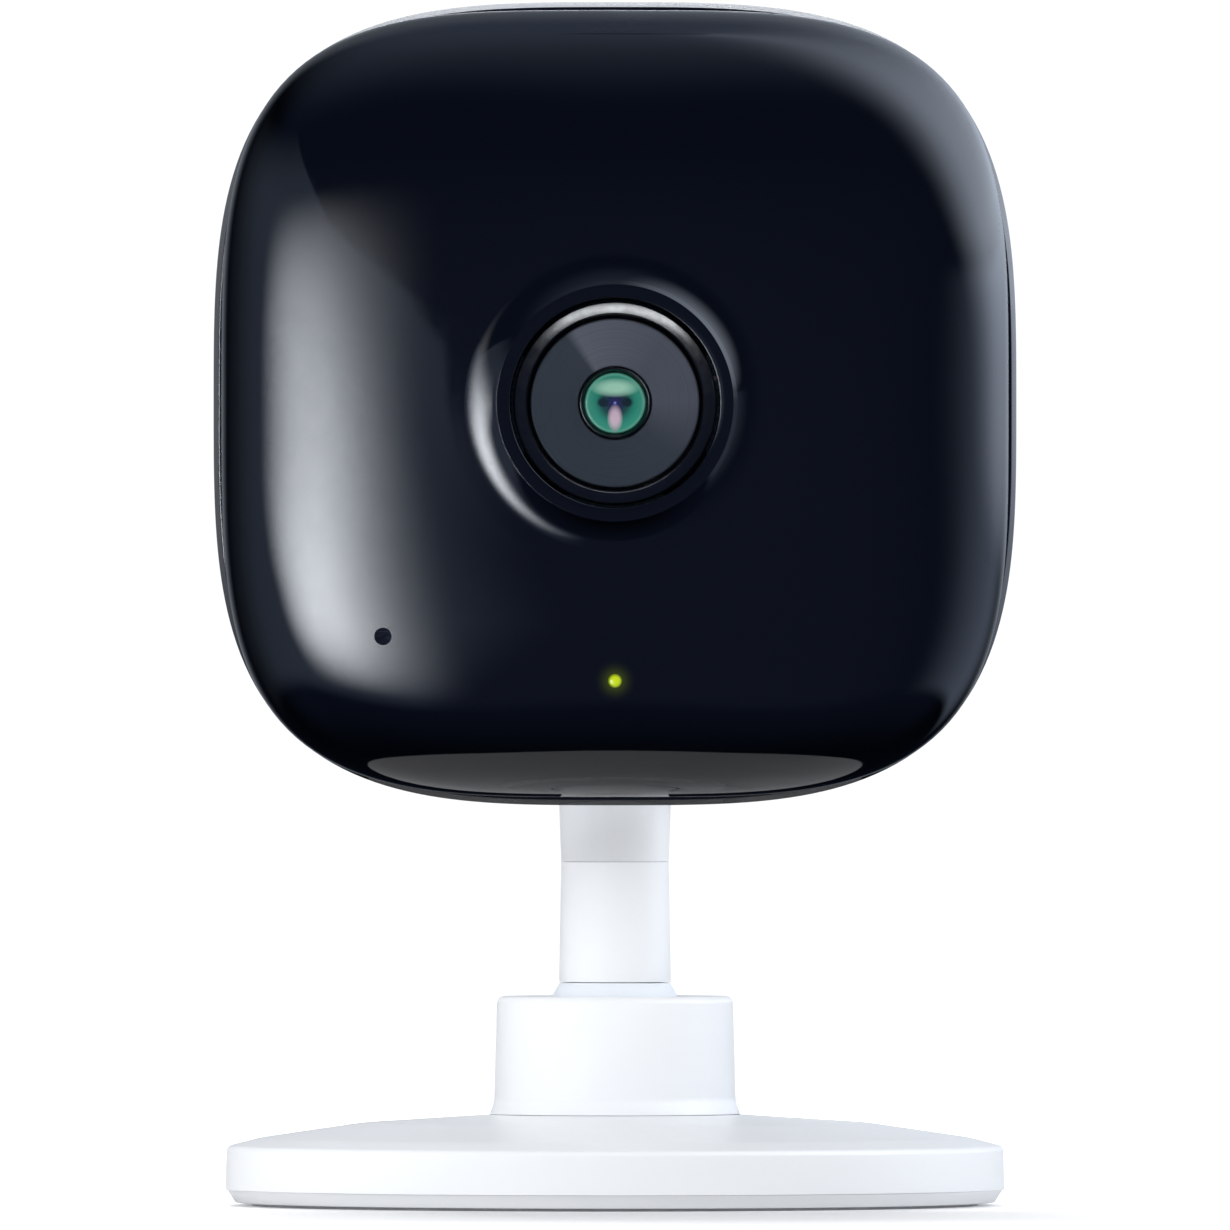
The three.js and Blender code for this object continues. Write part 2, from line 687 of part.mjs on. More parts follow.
function buildRearElectronics(head) {
  const onBoard = MAIN_BOARD.back + RUNNING_GAP;
  piece(head, "inner_chassis", innerChassis(), "blackPlastic");
  bossPlaces().forEach(([x, z], i) => {
    const inBoss = screw(BOSS.pilot - 0.2, 2.1, 1.1, 8);
    piece(head, `chassis_screw_${i + 1}`, inBoss, "steel", x, CHASSIS.front - 0.1, z);
  });
  piece(head, "main_board", mainBoard(), "board");
  piece(head, "rf_shield", slab(6, 8, 20, 16, -1.9, MAIN_BOARD.front - RUNNING_GAP), "aluminium");
  piece(head, "processor", slab(-9, -6, 12, 12, onBoard, onBoard + 1.2), "chip");
  piece(head, "memory_chip", slab(8, -7, 11, 8, onBoard, onBoard + 1), "chip");
  const onChips = onBoard + 1.2 + RUNNING_GAP;
  piece(head, "heat_spreader", slab(-2, -6, 34, 17, onChips, onChips + 0.8), "aluminium");
  piece(head, "wifi_antenna", slab(0, 26.5, 26, 4, -0.5, 0.5), "brass");
  const driver = [
    [0, SPEAKER.front],
    [5, SPEAKER.front],
    [5, SPEAKER.front + 2.6],
    [SPEAKER.radius, SPEAKER.front + 3.4],
    [SPEAKER.radius, SPEAKER.back],
    [SPEAKER.radius - 1, SPEAKER.back],
    [3, SPEAKER.back - 1.2],
    [0, SPEAKER.back - 0.4],
  ];
  piece(head, "speaker_driver", turned(driver, MEDIUM), "blackPlastic", 0, 0, SPEAKER.up);
  const gasket = ring(6.9, SPEAKER.radius, SPEAKER.back + 0.2, 10.95, MEDIUM);
  piece(head, "speaker_gasket", gasket, "rubber", 0, 0, SPEAKER.up);
  piece(head, "usb_socket", usbSocket(), "steel");
  piece(head, "reset_switch", slab(RESET.across, -RESET.down, 4, 4, onBoard, onBoard + 1.8), "chip");
}

// The push button that pokes through the housing's back, kept in by its flange.
function resetButton() {
  const wallInside = HOUSING.back - HEAD.wall;
  const flangeBack = wallInside - RUNNING_GAP;
  return turned([
    [0, RESET.innerEnd],
    [RESET.radius, RESET.innerEnd],
    [RESET.radius, flangeBack - 0.8],
    [RESET.radius + 0.8, flangeBack - 0.8],
    [RESET.radius + 0.8, flangeBack],
    [RESET.radius, flangeBack],
    [RESET.radius, HOUSING.back - 0.25],
    [RESET.radius - 0.2, HOUSING.back - 0.05],
    [0, HOUSING.back - 0.05],
  ]);
}

function buildHead(head) {
  piece(head, "head_collar", headCollar(), "white");
  piece(head, "front_cover", frontCover(), "glossBlack");
  piece(head, "trim_ring", trimRing(), "glossBlack");
  piece(head, "rear_housing", rearHousing(), "white");
  buildLens(head);
  buildFrontElectronics(head);
  buildRearElectronics(head);
  piece(head, "reset_button", resetButton(), "coolWhite", RESET.across, 0, -RESET.down);
}

// ---------------------------------------------------------------- assembly
const camera = new THREE.Group();
const base = new THREE.Group();
const hub = new THREE.Group();
const neck = new THREE.Group();
const head = new THREE.Group();
camera.add(base);
base.add(hub);
hub.add(neck);
neck.add(head);
head.position.z = HEAD.height;

buildBase(base);
buildHub(hub);
buildNeck(neck);
buildHead(head);

export default camera;
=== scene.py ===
# A desk-top security camera on a pale floor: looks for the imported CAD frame.
# Outlines below are in millimetres in the frame's own axes; MM turns them into metres.
import json
import math

import bmesh
import bpy
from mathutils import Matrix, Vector


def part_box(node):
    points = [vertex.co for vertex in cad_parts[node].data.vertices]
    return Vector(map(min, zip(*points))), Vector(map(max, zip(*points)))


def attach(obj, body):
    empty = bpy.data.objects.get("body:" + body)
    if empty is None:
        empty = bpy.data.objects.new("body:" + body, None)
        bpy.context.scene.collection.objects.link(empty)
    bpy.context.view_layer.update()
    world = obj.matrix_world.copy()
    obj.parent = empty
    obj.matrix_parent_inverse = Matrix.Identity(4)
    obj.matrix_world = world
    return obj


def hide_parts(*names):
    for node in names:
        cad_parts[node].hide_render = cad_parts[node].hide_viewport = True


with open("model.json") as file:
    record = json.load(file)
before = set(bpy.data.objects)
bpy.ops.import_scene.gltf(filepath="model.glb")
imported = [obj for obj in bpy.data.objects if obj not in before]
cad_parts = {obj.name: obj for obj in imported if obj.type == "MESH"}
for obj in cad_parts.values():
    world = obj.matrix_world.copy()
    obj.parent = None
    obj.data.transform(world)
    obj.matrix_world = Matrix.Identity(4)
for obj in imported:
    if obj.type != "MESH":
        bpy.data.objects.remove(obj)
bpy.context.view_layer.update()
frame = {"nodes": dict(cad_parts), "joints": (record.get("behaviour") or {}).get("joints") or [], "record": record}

MM = 0.001
SHELL = 256          # segments round the head's shells and the base
ROUND = 192          # segments round a large turned piece
FINE = 96            # segments round a small one
SMALL = 48           # segments round a hole, a screw or a button
FILLET_STEPS = 5
SMOOTH_BELOW = math.radians(32)
HEAD_SQUARE = 3.34   # exponent of the head's rounded square
COVER_SQUARE = 3.7   # and the front cover's
PILLOW = 2.2         # exponent of the cover's profile: the higher, the flatter its middle


# ---- sizes: boxes from the frame, and the few that the looks set themselves
def box_mm(node):
    low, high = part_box(node)
    return [v / MM for v in low], [v / MM for v in high]


def middle(node):
    low, high = box_mm(node)
    return [(a + b) / 2 for a, b in zip(low, high)]


cover_low, cover_high = box_mm("front_cover")
trim_low, trim_high = box_mm("trim_ring")
housing_low, housing_high = box_mm("rear_housing")
surround_low, surround_high = box_mm("lens_surround")
plate_low, plate_high = box_mm("lens_face_plate")
rim_low, rim_high = box_mm("lens_retaining_ring")
glass_low, glass_high = box_mm("lens_front_element")
pipe_low, pipe_high = box_mm("led_light_pipe")
collar_low, collar_high = box_mm("head_collar")
sleeve_low, sleeve_high = box_mm("neck_sleeve")
ball_low, ball_high = box_mm("ball_stud")
hub_low, hub_high = box_mm("hub_shell")
dome_low, dome_high = box_mm("base_cover")
band_low, band_high = box_mm("base_bottom_plate")
foot_low, foot_high = box_mm("foot_pad")
socket_low, socket_high = box_mm("usb_socket")
button_low, button_high = box_mm("reset_button")

AXIS = (cover_low[2] + cover_high[2]) / 2      # height of the lens axis
ROLL = 10                                      # the face falls back this far to its edge
FACE = cover_high[1] - ROLL                    # depth of the face's middle
LIP = FACE - cover_low[1]                      # how far the lip round the lens stands out
WALL = 1.8                                     # thickness of the head's shells
WELL = surround_high[0] + 0.3                  # radius of the lens well
MIC = (middle("mic_gasket")[0], middle("mic_gasket")[2])
LED_UP = middle("led_light_pipe")[2]
MIC_RADIUS = 0.725                             # of the microphone's hole
LED_RADIUS = 0.5                               # of the light pipe's tip


# ---- outlines
def filleted(corners):
    """Corners are (radius, place) or (radius, place, fillet). A fillet becomes an arc of points."""
    count = len(corners)
    closed = corners[0][0] > 0
    outline = []
    for i, corner in enumerate(corners):
        here = corner[:2]
        fillet = corner[2] if len(corner) > 2 else 0
        if not fillet or (not closed and i in (0, count - 1)):
            outline.append(here)
            continue
        before = corners[i - 1][:2]
        after = corners[(i + 1) % count][:2]
        back = Vector(before) - Vector(here)
        on = Vector(after) - Vector(here)
        half = back.angle(on) / 2
        reach = min(fillet / math.tan(half), 0.48 * back.length, 0.48 * on.length)
        radius = reach * math.tan(half)
        start = Vector(here) + back.normalized() * reach
        end = Vector(here) + on.normalized() * reach
        centre = Vector(here) + (back.normalized() + on.normalized()).normalized() * math.hypot(
            reach, radius
        )
        for step in range(FILLET_STEPS + 1):
            spoke = (start - centre).normalized().slerp(
                (end - centre).normalized(), step / FILLET_STEPS
            )
            outline.append(tuple(centre + spoke * radius))
    return outline


def arc(centre, radii, start, end, steps):
    """Points of an ellipse's arc, in degrees."""
    points = []
    for step in range(steps + 1):
        angle = math.radians(start + (end - start) * step / steps)
        points.append((centre[0] + radii[0] * math.cos(angle), centre[1] + radii[1] * math.sin(angle)))
    return points


def square_reach(angle, square):
    """How far out a rounded square of half-width 1 reaches at an angle."""
    across = abs(math.cos(angle)) ** square
    up = abs(math.sin(angle)) ** square
    return (across + up) ** (-1 / square)


def smoothstep(value, low, high):
    share = min(1, max(0, (value - low) / (high - low)))
    return share * share * (3 - 2 * share)


# ---- mesh building
WHITES = []          # the white pieces made so far, for the lamps that light only them


def turned(outline, axis="Z", segments=ROUND, centre=(0, 0, 0), square=None, blend=(0, 0.5)):
    """A closed mesh turned about Z or Y. With a square exponent its rings become rounded squares,
    not at all within blend[0] of the axis and fully from blend[1] outwards."""
    mesh = bmesh.new()
    rings = []
    for radius, place in outline:
        ring = []
        for k in range(segments if radius > 0 else 1):
            angle = 2 * math.pi * k / segments
            reach = radius
            if square:
                share = smoothstep(radius, *blend)
                reach = radius * (1 + share * (square_reach(angle, square) - 1))
            a, b = reach * math.cos(angle), reach * math.sin(angle)
            point = (a, b, place) if axis == "Z" else (a, place, b)
            ring.append(mesh.verts.new([(p + c) * MM for p, c in zip(point, centre)]))
        rings.append(ring)
    closed = outline[0][0] > 0
    pairs = list(zip(rings, rings[1:]))
    if closed:
        pairs.append((rings[-1], rings[0]))
    for one, other in pairs:
        if len(one) == 1 and len(other) == 1:
            continue
        for k in range(segments):
            corners = (
                one[k % len(one)],
                one[(k + 1) % len(one)],
                other[(k + 1) % len(other)],
                other[k % len(other)],
            )
            mesh.faces.new(list(dict.fromkeys(corners)))
    bmesh.ops.recalc_face_normals(mesh, faces=mesh.faces)
    return mesh


def rounded_box(low, high, radius, axis, steps=6):
    """A box whose four edges along one axis are rounded."""
    order = {"X": (1, 2, 0), "Y": (0, 2, 1), "Z": (0, 1, 2)}[axis]
    u, v, w = order
    mesh = bmesh.new()
    loops = []
    for depth in (low[w], high[w]):
        loop = []
        for corner, (cu, cv) in enumerate(((1, 1), (0, 1), (0, 0), (1, 0))):
            centre_u = high[u] - radius if cu else low[u] + radius
            centre_v = high[v] - radius if cv else low[v] + radius
            for step in range(steps + 1):
                angle = math.radians(90 * corner + 90 * step / steps)
                point = [0, 0, 0]
                point[u] = centre_u + radius * math.cos(angle)
                point[v] = centre_v + radius * math.sin(angle)
                point[w] = depth
                loop.append(mesh.verts.new([p * MM for p in point]))
        loops.append(loop)
    mesh.faces.new(loops[0])
    mesh.faces.new(loops[1])
    count = len(loops[0])
    for k in range(count):
        n = (k + 1) % count
        mesh.faces.new((loops[0][k], loops[0][n], loops[1][n], loops[1][k]))
    bmesh.ops.recalc_face_normals(mesh, faces=mesh.faces)
    return mesh


def bar(radius, start, end, x, z, axis="Y", segments=SMALL):
    """A plain round bar along Y at (x, z), or along Z at (x, y)."""
    centre = (x, 0, z) if axis == "Y" else (x, z, 0)
    return turned([(0, start), (radius, start), (radius, end), (0, end)], axis, segments, centre)


def as_object(name, mesh):
    data = bpy.data.meshes.new(name)
    mesh.to_mesh(data)
    mesh.free()
    piece = bpy.data.objects.new(name, data)
    bpy.context.scene.collection.objects.link(piece)
    return piece


def applied(piece):
    """Puts the result of the piece's modifiers into its mesh."""
    depsgraph = bpy.context.evaluated_depsgraph_get()
    depsgraph.update()
    result = bpy.data.meshes.new_from_object(
        piece.evaluated_get(depsgraph), preserve_all_data_layers=True, depsgraph=depsgraph
    )
    piece.modifiers.clear()
    old = piece.data
    piece.data = result
    bpy.data.meshes.remove(old)


def combine(piece, tool_mesh, operation):
    tool = as_object("tool", tool_mesh)
    change = piece.modifiers.new("change", "BOOLEAN")
    change.operation = operation
    change.solver = "EXACT"
    change.object = tool
    applied(piece)
    bpy.data.objects.remove(tool)


def cut(piece, *tools):
    for tool in tools:
        combine(piece, tool, "DIFFERENCE")


def add(piece, *tools):
    for tool in tools:
        combine(piece, tool, "UNION")


def dressed(piece, body, node, finish):
    """Gives a piece its material, the body it rides on and the CAD node it replaces."""
    piece.data.materials.clear()
    piece.data.materials.append(look(finish))
    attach(piece, body)
    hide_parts(node)


def finished(piece, body, slot, node, finish=None, weighted=True):
    """Shades a piece smooth but for its sharp edges, and dresses it."""
    for face in piece.data.polygons:
        face.use_smooth = True
    piece.data.set_sharp_from_angle(angle=SMOOTH_BELOW)
    if weighted:
        weight = piece.modifiers.new("weighted normals", "WEIGHTED_NORMAL")
        weight.keep_sharp = True
    if slot in ("white", "cool_white"):
        WHITES.append(piece)
    dressed(piece, body, node, finish or slot)
    return piece


# ---- materials
class Finish:
    """A Principled material with a few helpers for procedural detail in object coordinates."""

    def __init__(self, name, colour, roughness, **sockets):
        self.material = bpy.data.materials.new(name)
        self.material.use_nodes = True
        self.nodes = self.material.node_tree.nodes
        self.links = self.material.node_tree.links
        self.shader = self.nodes["Principled BSDF"]
        self.shader.inputs["Base Color"].default_value = (*colour, 1)
        self.shader.inputs["Roughness"].default_value = roughness
        for socket, value in sockets.items():
            self.shader.inputs[socket.replace("_", " ")].default_value = value
        self.place = self.nodes.new("ShaderNodeTexCoord").outputs["Object"]

    def math(self, operation, a, b=None):
        node = self.nodes.new("ShaderNodeMath")
        node.operation = operation
        for socket, value in zip(node.inputs, (a, b)):
            if value is None:
                continue
            if isinstance(value, (int, float)):
                socket.default_value = value
            else:
                self.links.new(value, socket)
        return node.outputs[0]

    def noise(self, scale, detail=4.0, stretch=(1, 1, 1)):
        mapping = self.nodes.new("ShaderNodeMapping")
        mapping.inputs["Scale"].default_value = stretch
        self.links.new(self.place, mapping.inputs["Vector"])
        node = self.nodes.new("ShaderNodeTexNoise")
        node.inputs["Scale"].default_value = scale
        node.inputs["Detail"].default_value = detail
        self.links.new(mapping.outputs[0], node.inputs["Vector"])
        return node.outputs["Fac"]

    def cells(self, scale, feature="F1"):
        node = self.nodes.new("ShaderNodeTexVoronoi")
        node.feature = feature
        node.inputs["Scale"].default_value = scale
        self.links.new(self.place, node.inputs["Vector"])
        return node.outputs["Distance"]

    def mapped(self, value, low, high, to_low, to_high):
        node = self.nodes.new("ShaderNodeMapRange")
        for socket, number in zip(node.inputs[1:5], (low, high, to_low, to_high)):
            socket.default_value = number
        self.links.new(value, node.inputs[0])
        return node.outputs[0]

    def mix(self, amount, first, second, blend="MIX"):
        """A mix of two colours. A colour is three numbers or a socket, the amount a number or a
        socket."""
        node = self.nodes.new("ShaderNodeMix")
        node.data_type = "RGBA"
        node.blend_type = blend
        for socket, value in ((0, amount), (6, first), (7, second)):
            if isinstance(value, tuple):
                node.inputs[socket].default_value = (*value, 1)
            elif isinstance(value, (int, float)):
                node.inputs[socket].default_value = value
            else:
                self.links.new(value, node.inputs[socket])
        return node.outputs[2]

    def drive(self, socket, value):
        """Links a value to one of the shader's own sockets."""
        self.links.new(value, self.shader.inputs[socket])

    def vary_roughness(self, value, low, high):
        self.drive("Roughness", self.mapped(value, 0.3, 0.7, low, high))

    def vary_colour(self, value, first, second):
        self.drive("Base Color", self.mix(self.mapped(value, 0.3, 0.7, 0, 1), first, second))

    def bump(self, height, distance, strength=1.0):
        node = self.nodes.new("ShaderNodeBump")
        node.inputs["Strength"].default_value = strength
        node.inputs["Distance"].default_value = distance * MM
        self.links.new(height, node.inputs["Height"])
        self.drive("Normal", node.outputs[0])

    def split(self):
        node = self.nodes.new("ShaderNodeSeparateXYZ")
        self.links.new(self.place, node.inputs[0])
        return node.outputs

    def radius_from(self, x, z):
        """Distance from a line along Y through (x, z), in metres."""
        parts = self.split()
        across = self.math("SUBTRACT", parts[0], x * MM)
        up = self.math("SUBTRACT", parts[2], z * MM)
        square = self.math("ADD", self.math("MULTIPLY", across, across), self.math("MULTIPLY", up, up))
        return self.math("SQRT", square)

    def ramp(self, value, stops):
        node = self.nodes.new("ShaderNodeValToRGB")
        elements = node.color_ramp.elements
        elements[0].position, elements[0].color = stops[0][0], (*stops[0][1], 1)
        elements[1].position, elements[1].color = stops[-1][0], (*stops[-1][1], 1)
        for position, colour in stops[1:-1]:
            elements.new(position).color = (*colour, 1)
        self.links.new(value, node.inputs[0])
        return node.outputs[0]


def ring_black():
    """A softer gloss for the ring round the lens."""
    finish = Finish("ring_black", (0.0006, 0.0008, 0.0012), 0.2, IOR=1.5)
    finish.vary_roughness(finish.noise(1200, 4), 0.16, 0.24)
    finish.bump(finish.noise(1500, 3), 0.0004)
    return finish


def gloss_black():
    finish = Finish("gloss_black", (0.0003, 0.0004, 0.0008), 0.05, IOR=1.5)
    finish.vary_roughness(finish.noise(900, 6), 0.035, 0.07)
    finish.bump(finish.noise(120, 2), 0.0006)
    return finish


def cover_black():
    """The cover's gloss, with a painted glow round the indicator, as if its light spread a little through the dark
    plastic.
    """
    finish = gloss_black()
    finish.material.name = "cover_gloss_black"
    # Painted glow: emission that fades out from the indicator's tip.
    away = finish.radius_from(0, LED_UP)
    glow = finish.mapped(away, LED_RADIUS * MM, 1.9 * MM, 1, 0)
    finish.drive("Emission Strength", finish.math("MULTIPLY", finish.math("POWER", glow, 2.5), 0.07))
    finish.shader.inputs["Emission Color"].default_value = (0.55, 0.72, 0.02, 1)
    return finish


def plastic(name, colour, shade, roughness, grain=0.006):
    """Moulded plastic: a fine spark-eroded grain, a slow change of shade and of roughness."""
    finish = Finish(name, colour, roughness, IOR=1.46)
    finish.vary_colour(finish.noise(45, 3), colour, shade)
    finish.vary_roughness(finish.noise(700, 3), roughness - 0.05, roughness + 0.05)
    finish.bump(finish.math("ADD", finish.noise(3500, 2), finish.noise(1500, 3)), grain)
    return finish


def turned_graphite():
    """Satin dark anodising over fine concentric turning marks, with a painted sheen: a paler wedge to
    one side, standing in for the light that such marks catch."""
    finish = Finish("turned_graphite", (0.04, 0.05, 0.07), 0.42, IOR=1.5, Specular_IOR_Level=0.15)
    rings = finish.nodes.new("ShaderNodeTexNoise")
    rings.noise_dimensions = "1D"
    rings.inputs["Scale"].default_value = 9000
    rings.inputs["Detail"].default_value = 3
    finish.links.new(finish.radius_from(0, AXIS), rings.inputs["W"])
    parts = finish.split()
    up = finish.math("SUBTRACT", parts[2], AXIS * MM)
    turn = finish.math("ARCTAN2", up, parts[0])
    # Painted sheen: a ramp over the angle round the lens, from dark through middling to pale, then a crisp edge
    # back to dark.
    dark, middling, pale = (0.028, 0.037, 0.051), (0.062, 0.070, 0.095), (0.098, 0.108, 0.140)
    start, end = math.radians(-42), math.radians(127)
    painted_sheen = finish.ramp(finish.mapped(turn, start, end, 0, 1),
                         [(0, dark), (0.25, middling), (0.55, middling), (0.955, pale), (1, dark)])
    grain = finish.ramp(rings.outputs["Fac"], [(0.3, (0.86, 0.86, 0.86)), (0.7, (1.08, 1.08, 1.08))])
    finish.drive("Base Color", finish.mix(1, painted_sheen, grain, "MULTIPLY"))
    finish.vary_roughness(rings.outputs["Fac"], 0.38, 0.48)
    finish.bump(rings.outputs["Fac"], 0.0008)
    return finish


def coated_glass_painted_reflections():
    """A multi-coated element whose reflections are painted into its colour: the coating's run from
    violet at the middle through dark to green at the edge, a painted highlight crosses the top, and
    the lens group behind it is painted as a pale fan below and two dark spots."""
    finish = Finish("coated_glass_painted_reflections", (0.1, 0.5, 0.4), 0.05, IOR=1.52, Coat_Weight=1.0,
                    Coat_Roughness=0.02)
    radius = glass_high[0] * MM
    share = finish.mapped(finish.radius_from(0, AXIS), 0, radius, 0, 1)
    # Painted reflections of the coating, by distance from the middle: a violet glint, dark, then green brightening
    # near the edge.
    colour = finish.ramp(share, [
        (0.0, (0.30, 0.34, 0.95)),
        (0.06, (0.02, 0.02, 0.10)),
        (0.22, (0.012, 0.018, 0.06)),
        (0.42, (0.012, 0.07, 0.06)),
        (0.62, (0.02, 0.24, 0.16)),
        (0.86, (0.05, 0.36, 0.25)),
        (0.94, (0.16, 0.58, 0.42)),
        (1.0, (0.015, 0.07, 0.06)),
    ])
    parts = finish.split()
    across = finish.math("DIVIDE", parts[0], radius)
    up = finish.math("DIVIDE", finish.math("SUBTRACT", parts[2], AXIS * MM), radius)

    def patch(tint, x, z, wide, high, soft, most):
        """Paints a reflection as a tinted oval and its mirror image, placed and sized in shares of the glass's
        radius.
        """
        dx = finish.math("DIVIDE", finish.math("SUBTRACT", finish.math("ABSOLUTE", across), x), wide)
        dz = finish.math("DIVIDE", finish.math("SUBTRACT", up, z), high)
        reach = finish.math("ADD", finish.math("MULTIPLY", dx, dx), finish.math("MULTIPLY", dz, dz))
        return finish.mix(finish.mapped(reach, 1 - soft, 1 + soft, most, 0), colour, tint)

    # Painted reflections: a pale mint highlight across the top, a pale fan below the middle and two dark spots
    # either side of it.
    colour = patch((0.52, 0.92, 0.70), 0, 0.50, 0.62, 0.24, 0.8, 0.78)
    colour = patch((0.75, 0.55, 0.68), 0, -0.50, 0.20, 0.36, 0.7, 0.85)
    colour = patch((0.003, 0.012, 0.014), 0.40, 0.02, 0.17, 0.15, 0.6, 0.95)
    finish.drive("Base Color", colour)
    finish.vary_roughness(finish.noise(2000, 2), 0.04, 0.07)
    finish.bump(finish.noise(400, 2), 0.0003)
    return finish


def clear_glass():
    finish = Finish("clear_glass", (0.80, 0.92, 0.90), 0.03, Transmission_Weight=1.0, IOR=1.52)
    finish.vary_roughness(finish.noise(1500, 2), 0.02, 0.05)
    finish.bump(finish.noise(300, 2), 0.0003)
    return finish


def indicator():
    finish = Finish("indicator", (0.04, 0.05, 0.004), 0.25)
    away = finish.radius_from(0, LED_UP)
    colour = finish.ramp(finish.mapped(away, 0, LED_RADIUS * MM, 0, 1),
                         [(0, (0.58, 0.71, 0.0)), (0.7, (0.48, 0.62, 0.0)), (1, (0.20, 0.27, 0.01))])
    finish.drive("Emission Color", colour)
    finish.shader.inputs["Emission Strength"].default_value = 1.0
    finish.bump(finish.noise(3000, 2), 0.002)
    return finish


def metal(name, colour, roughness, brushed=(1, 1, 14)):
    finish = Finish(name, colour, roughness, Metallic=1.0)
    lines = finish.noise(900, 5, brushed)
    shade = tuple(c * 0.82 for c in colour)
    finish.vary_colour(lines, shade, colour)
    finish.vary_roughness(lines, roughness - 0.08, roughness + 0.10)
    finish.bump(lines, 0.002)
    return finish


def rubber():
    finish = Finish("rubber", (0.42, 0.43, 0.45), 0.85, IOR=1.45)
    finish.vary_colour(finish.noise(600, 5), (0.39, 0.40, 0.42), (0.46, 0.47, 0.49))
    finish.vary_roughness(finish.noise(300, 3), 0.78, 0.92)
    finish.bump(finish.noise(2600, 4), 0.02)
    return finish


def circuit_board():
    """Green solder mask over raised copper tracks, with tinned pads."""
    finish = Finish("circuit_board", (0.02, 0.11, 0.05), 0.38, Coat_Weight=0.4)
    tracks = finish.nodes.new("ShaderNodeTexBrick")
    tracks.inputs["Scale"].default_value = 420
    tracks.inputs["Mortar Size"].default_value = 0.09
    tracks.inputs["Color1"].default_value = (0.015, 0.095, 0.042, 1)
    tracks.inputs["Color2"].default_value = (0.020, 0.120, 0.055, 1)
    tracks.inputs["Mortar"].default_value = (0.05, 0.22, 0.10, 1)
    parts = finish.split()
    flat = finish.nodes.new("ShaderNodeCombineXYZ")
    finish.links.new(parts[0], flat.inputs[0])
    finish.links.new(parts[2], flat.inputs[1])
    finish.links.new(flat.outputs[0], tracks.inputs["Vector"])
    pads = finish.mapped(finish.cells(380), 0.10, 0.13, 1, 0)
    finish.drive("Base Color", finish.mix(pads, tracks.outputs["Color"], (0.62, 0.60, 0.55)))
    finish.drive("Metallic", pads)
    finish.bump(tracks.outputs["Fac"], 0.02)
    return finish


def chip():
    finish = Finish("chip", (0.022, 0.024, 0.028), 0.55)
    finish.vary_colour(finish.noise(2500, 6), (0.016, 0.018, 0.021), (0.034, 0.036, 0.041))
    finish.vary_roughness(finish.noise(900, 3), 0.48, 0.62)
    finish.bump(finish.noise(3000, 4), 0.008)
    return finish


FINISHES = {
    "gloss_black": gloss_black(),
    "cover": cover_black(),
    "ring": ring_black(),
    "graphite": turned_graphite(),
    "white": plastic("white_plastic", (0.86, 0.87, 0.885), (0.845, 0.86, 0.88), 0.36),
    "cool_white": plastic("cool_white_plastic", (0.82, 0.855, 0.90), (0.80, 0.84, 0.89), 0.42),
    "grey_nylon": plastic("grey_nylon", (0.36, 0.38, 0.41), (0.33, 0.35, 0.38), 0.55),
    "black_plastic": plastic("black_plastic", (0.018, 0.019, 0.022), (0.024, 0.025, 0.028), 0.5, 0.012),
    "rubber": rubber(),
    "steel": metal("zinc_steel", (0.62, 0.63, 0.65), 0.32),
    "aluminium": metal("satin_aluminium", (0.72, 0.73, 0.75), 0.34, (14, 1, 1)),
    "brass": metal("brass_foil", (0.74, 0.55, 0.22), 0.26, (1, 1, 6)),
    "lens_glass": coated_glass_painted_reflections(),
    "clear_glass": clear_glass(),
    "indicator": indicator(),
    "board": circuit_board(),
    "chip": chip(),
}


def look(slot):
    return FINISHES[slot].material


# ---- the head's shells
def pillow(angle):
    """(share of the half-width, share of the roll) of the face at an angle from 0 to 90 degrees."""
    turn = math.radians(angle)
    return math.sqrt(math.sin(turn)), 1 - max(0, math.cos(turn)) ** (2 / PILLOW)


def pillow_at(share):
    return 1 - (1 - share**4) ** (1 / PILLOW)


def lip_front(radius, crest, foot):
    """Depth of the face where the lip falls away from its crest to its foot."""
    share = (radius - crest) / (foot - crest)
    return FACE + ROLL * pillow_at(radius / cover_high[0]) - LIP * (1 - share) ** 2


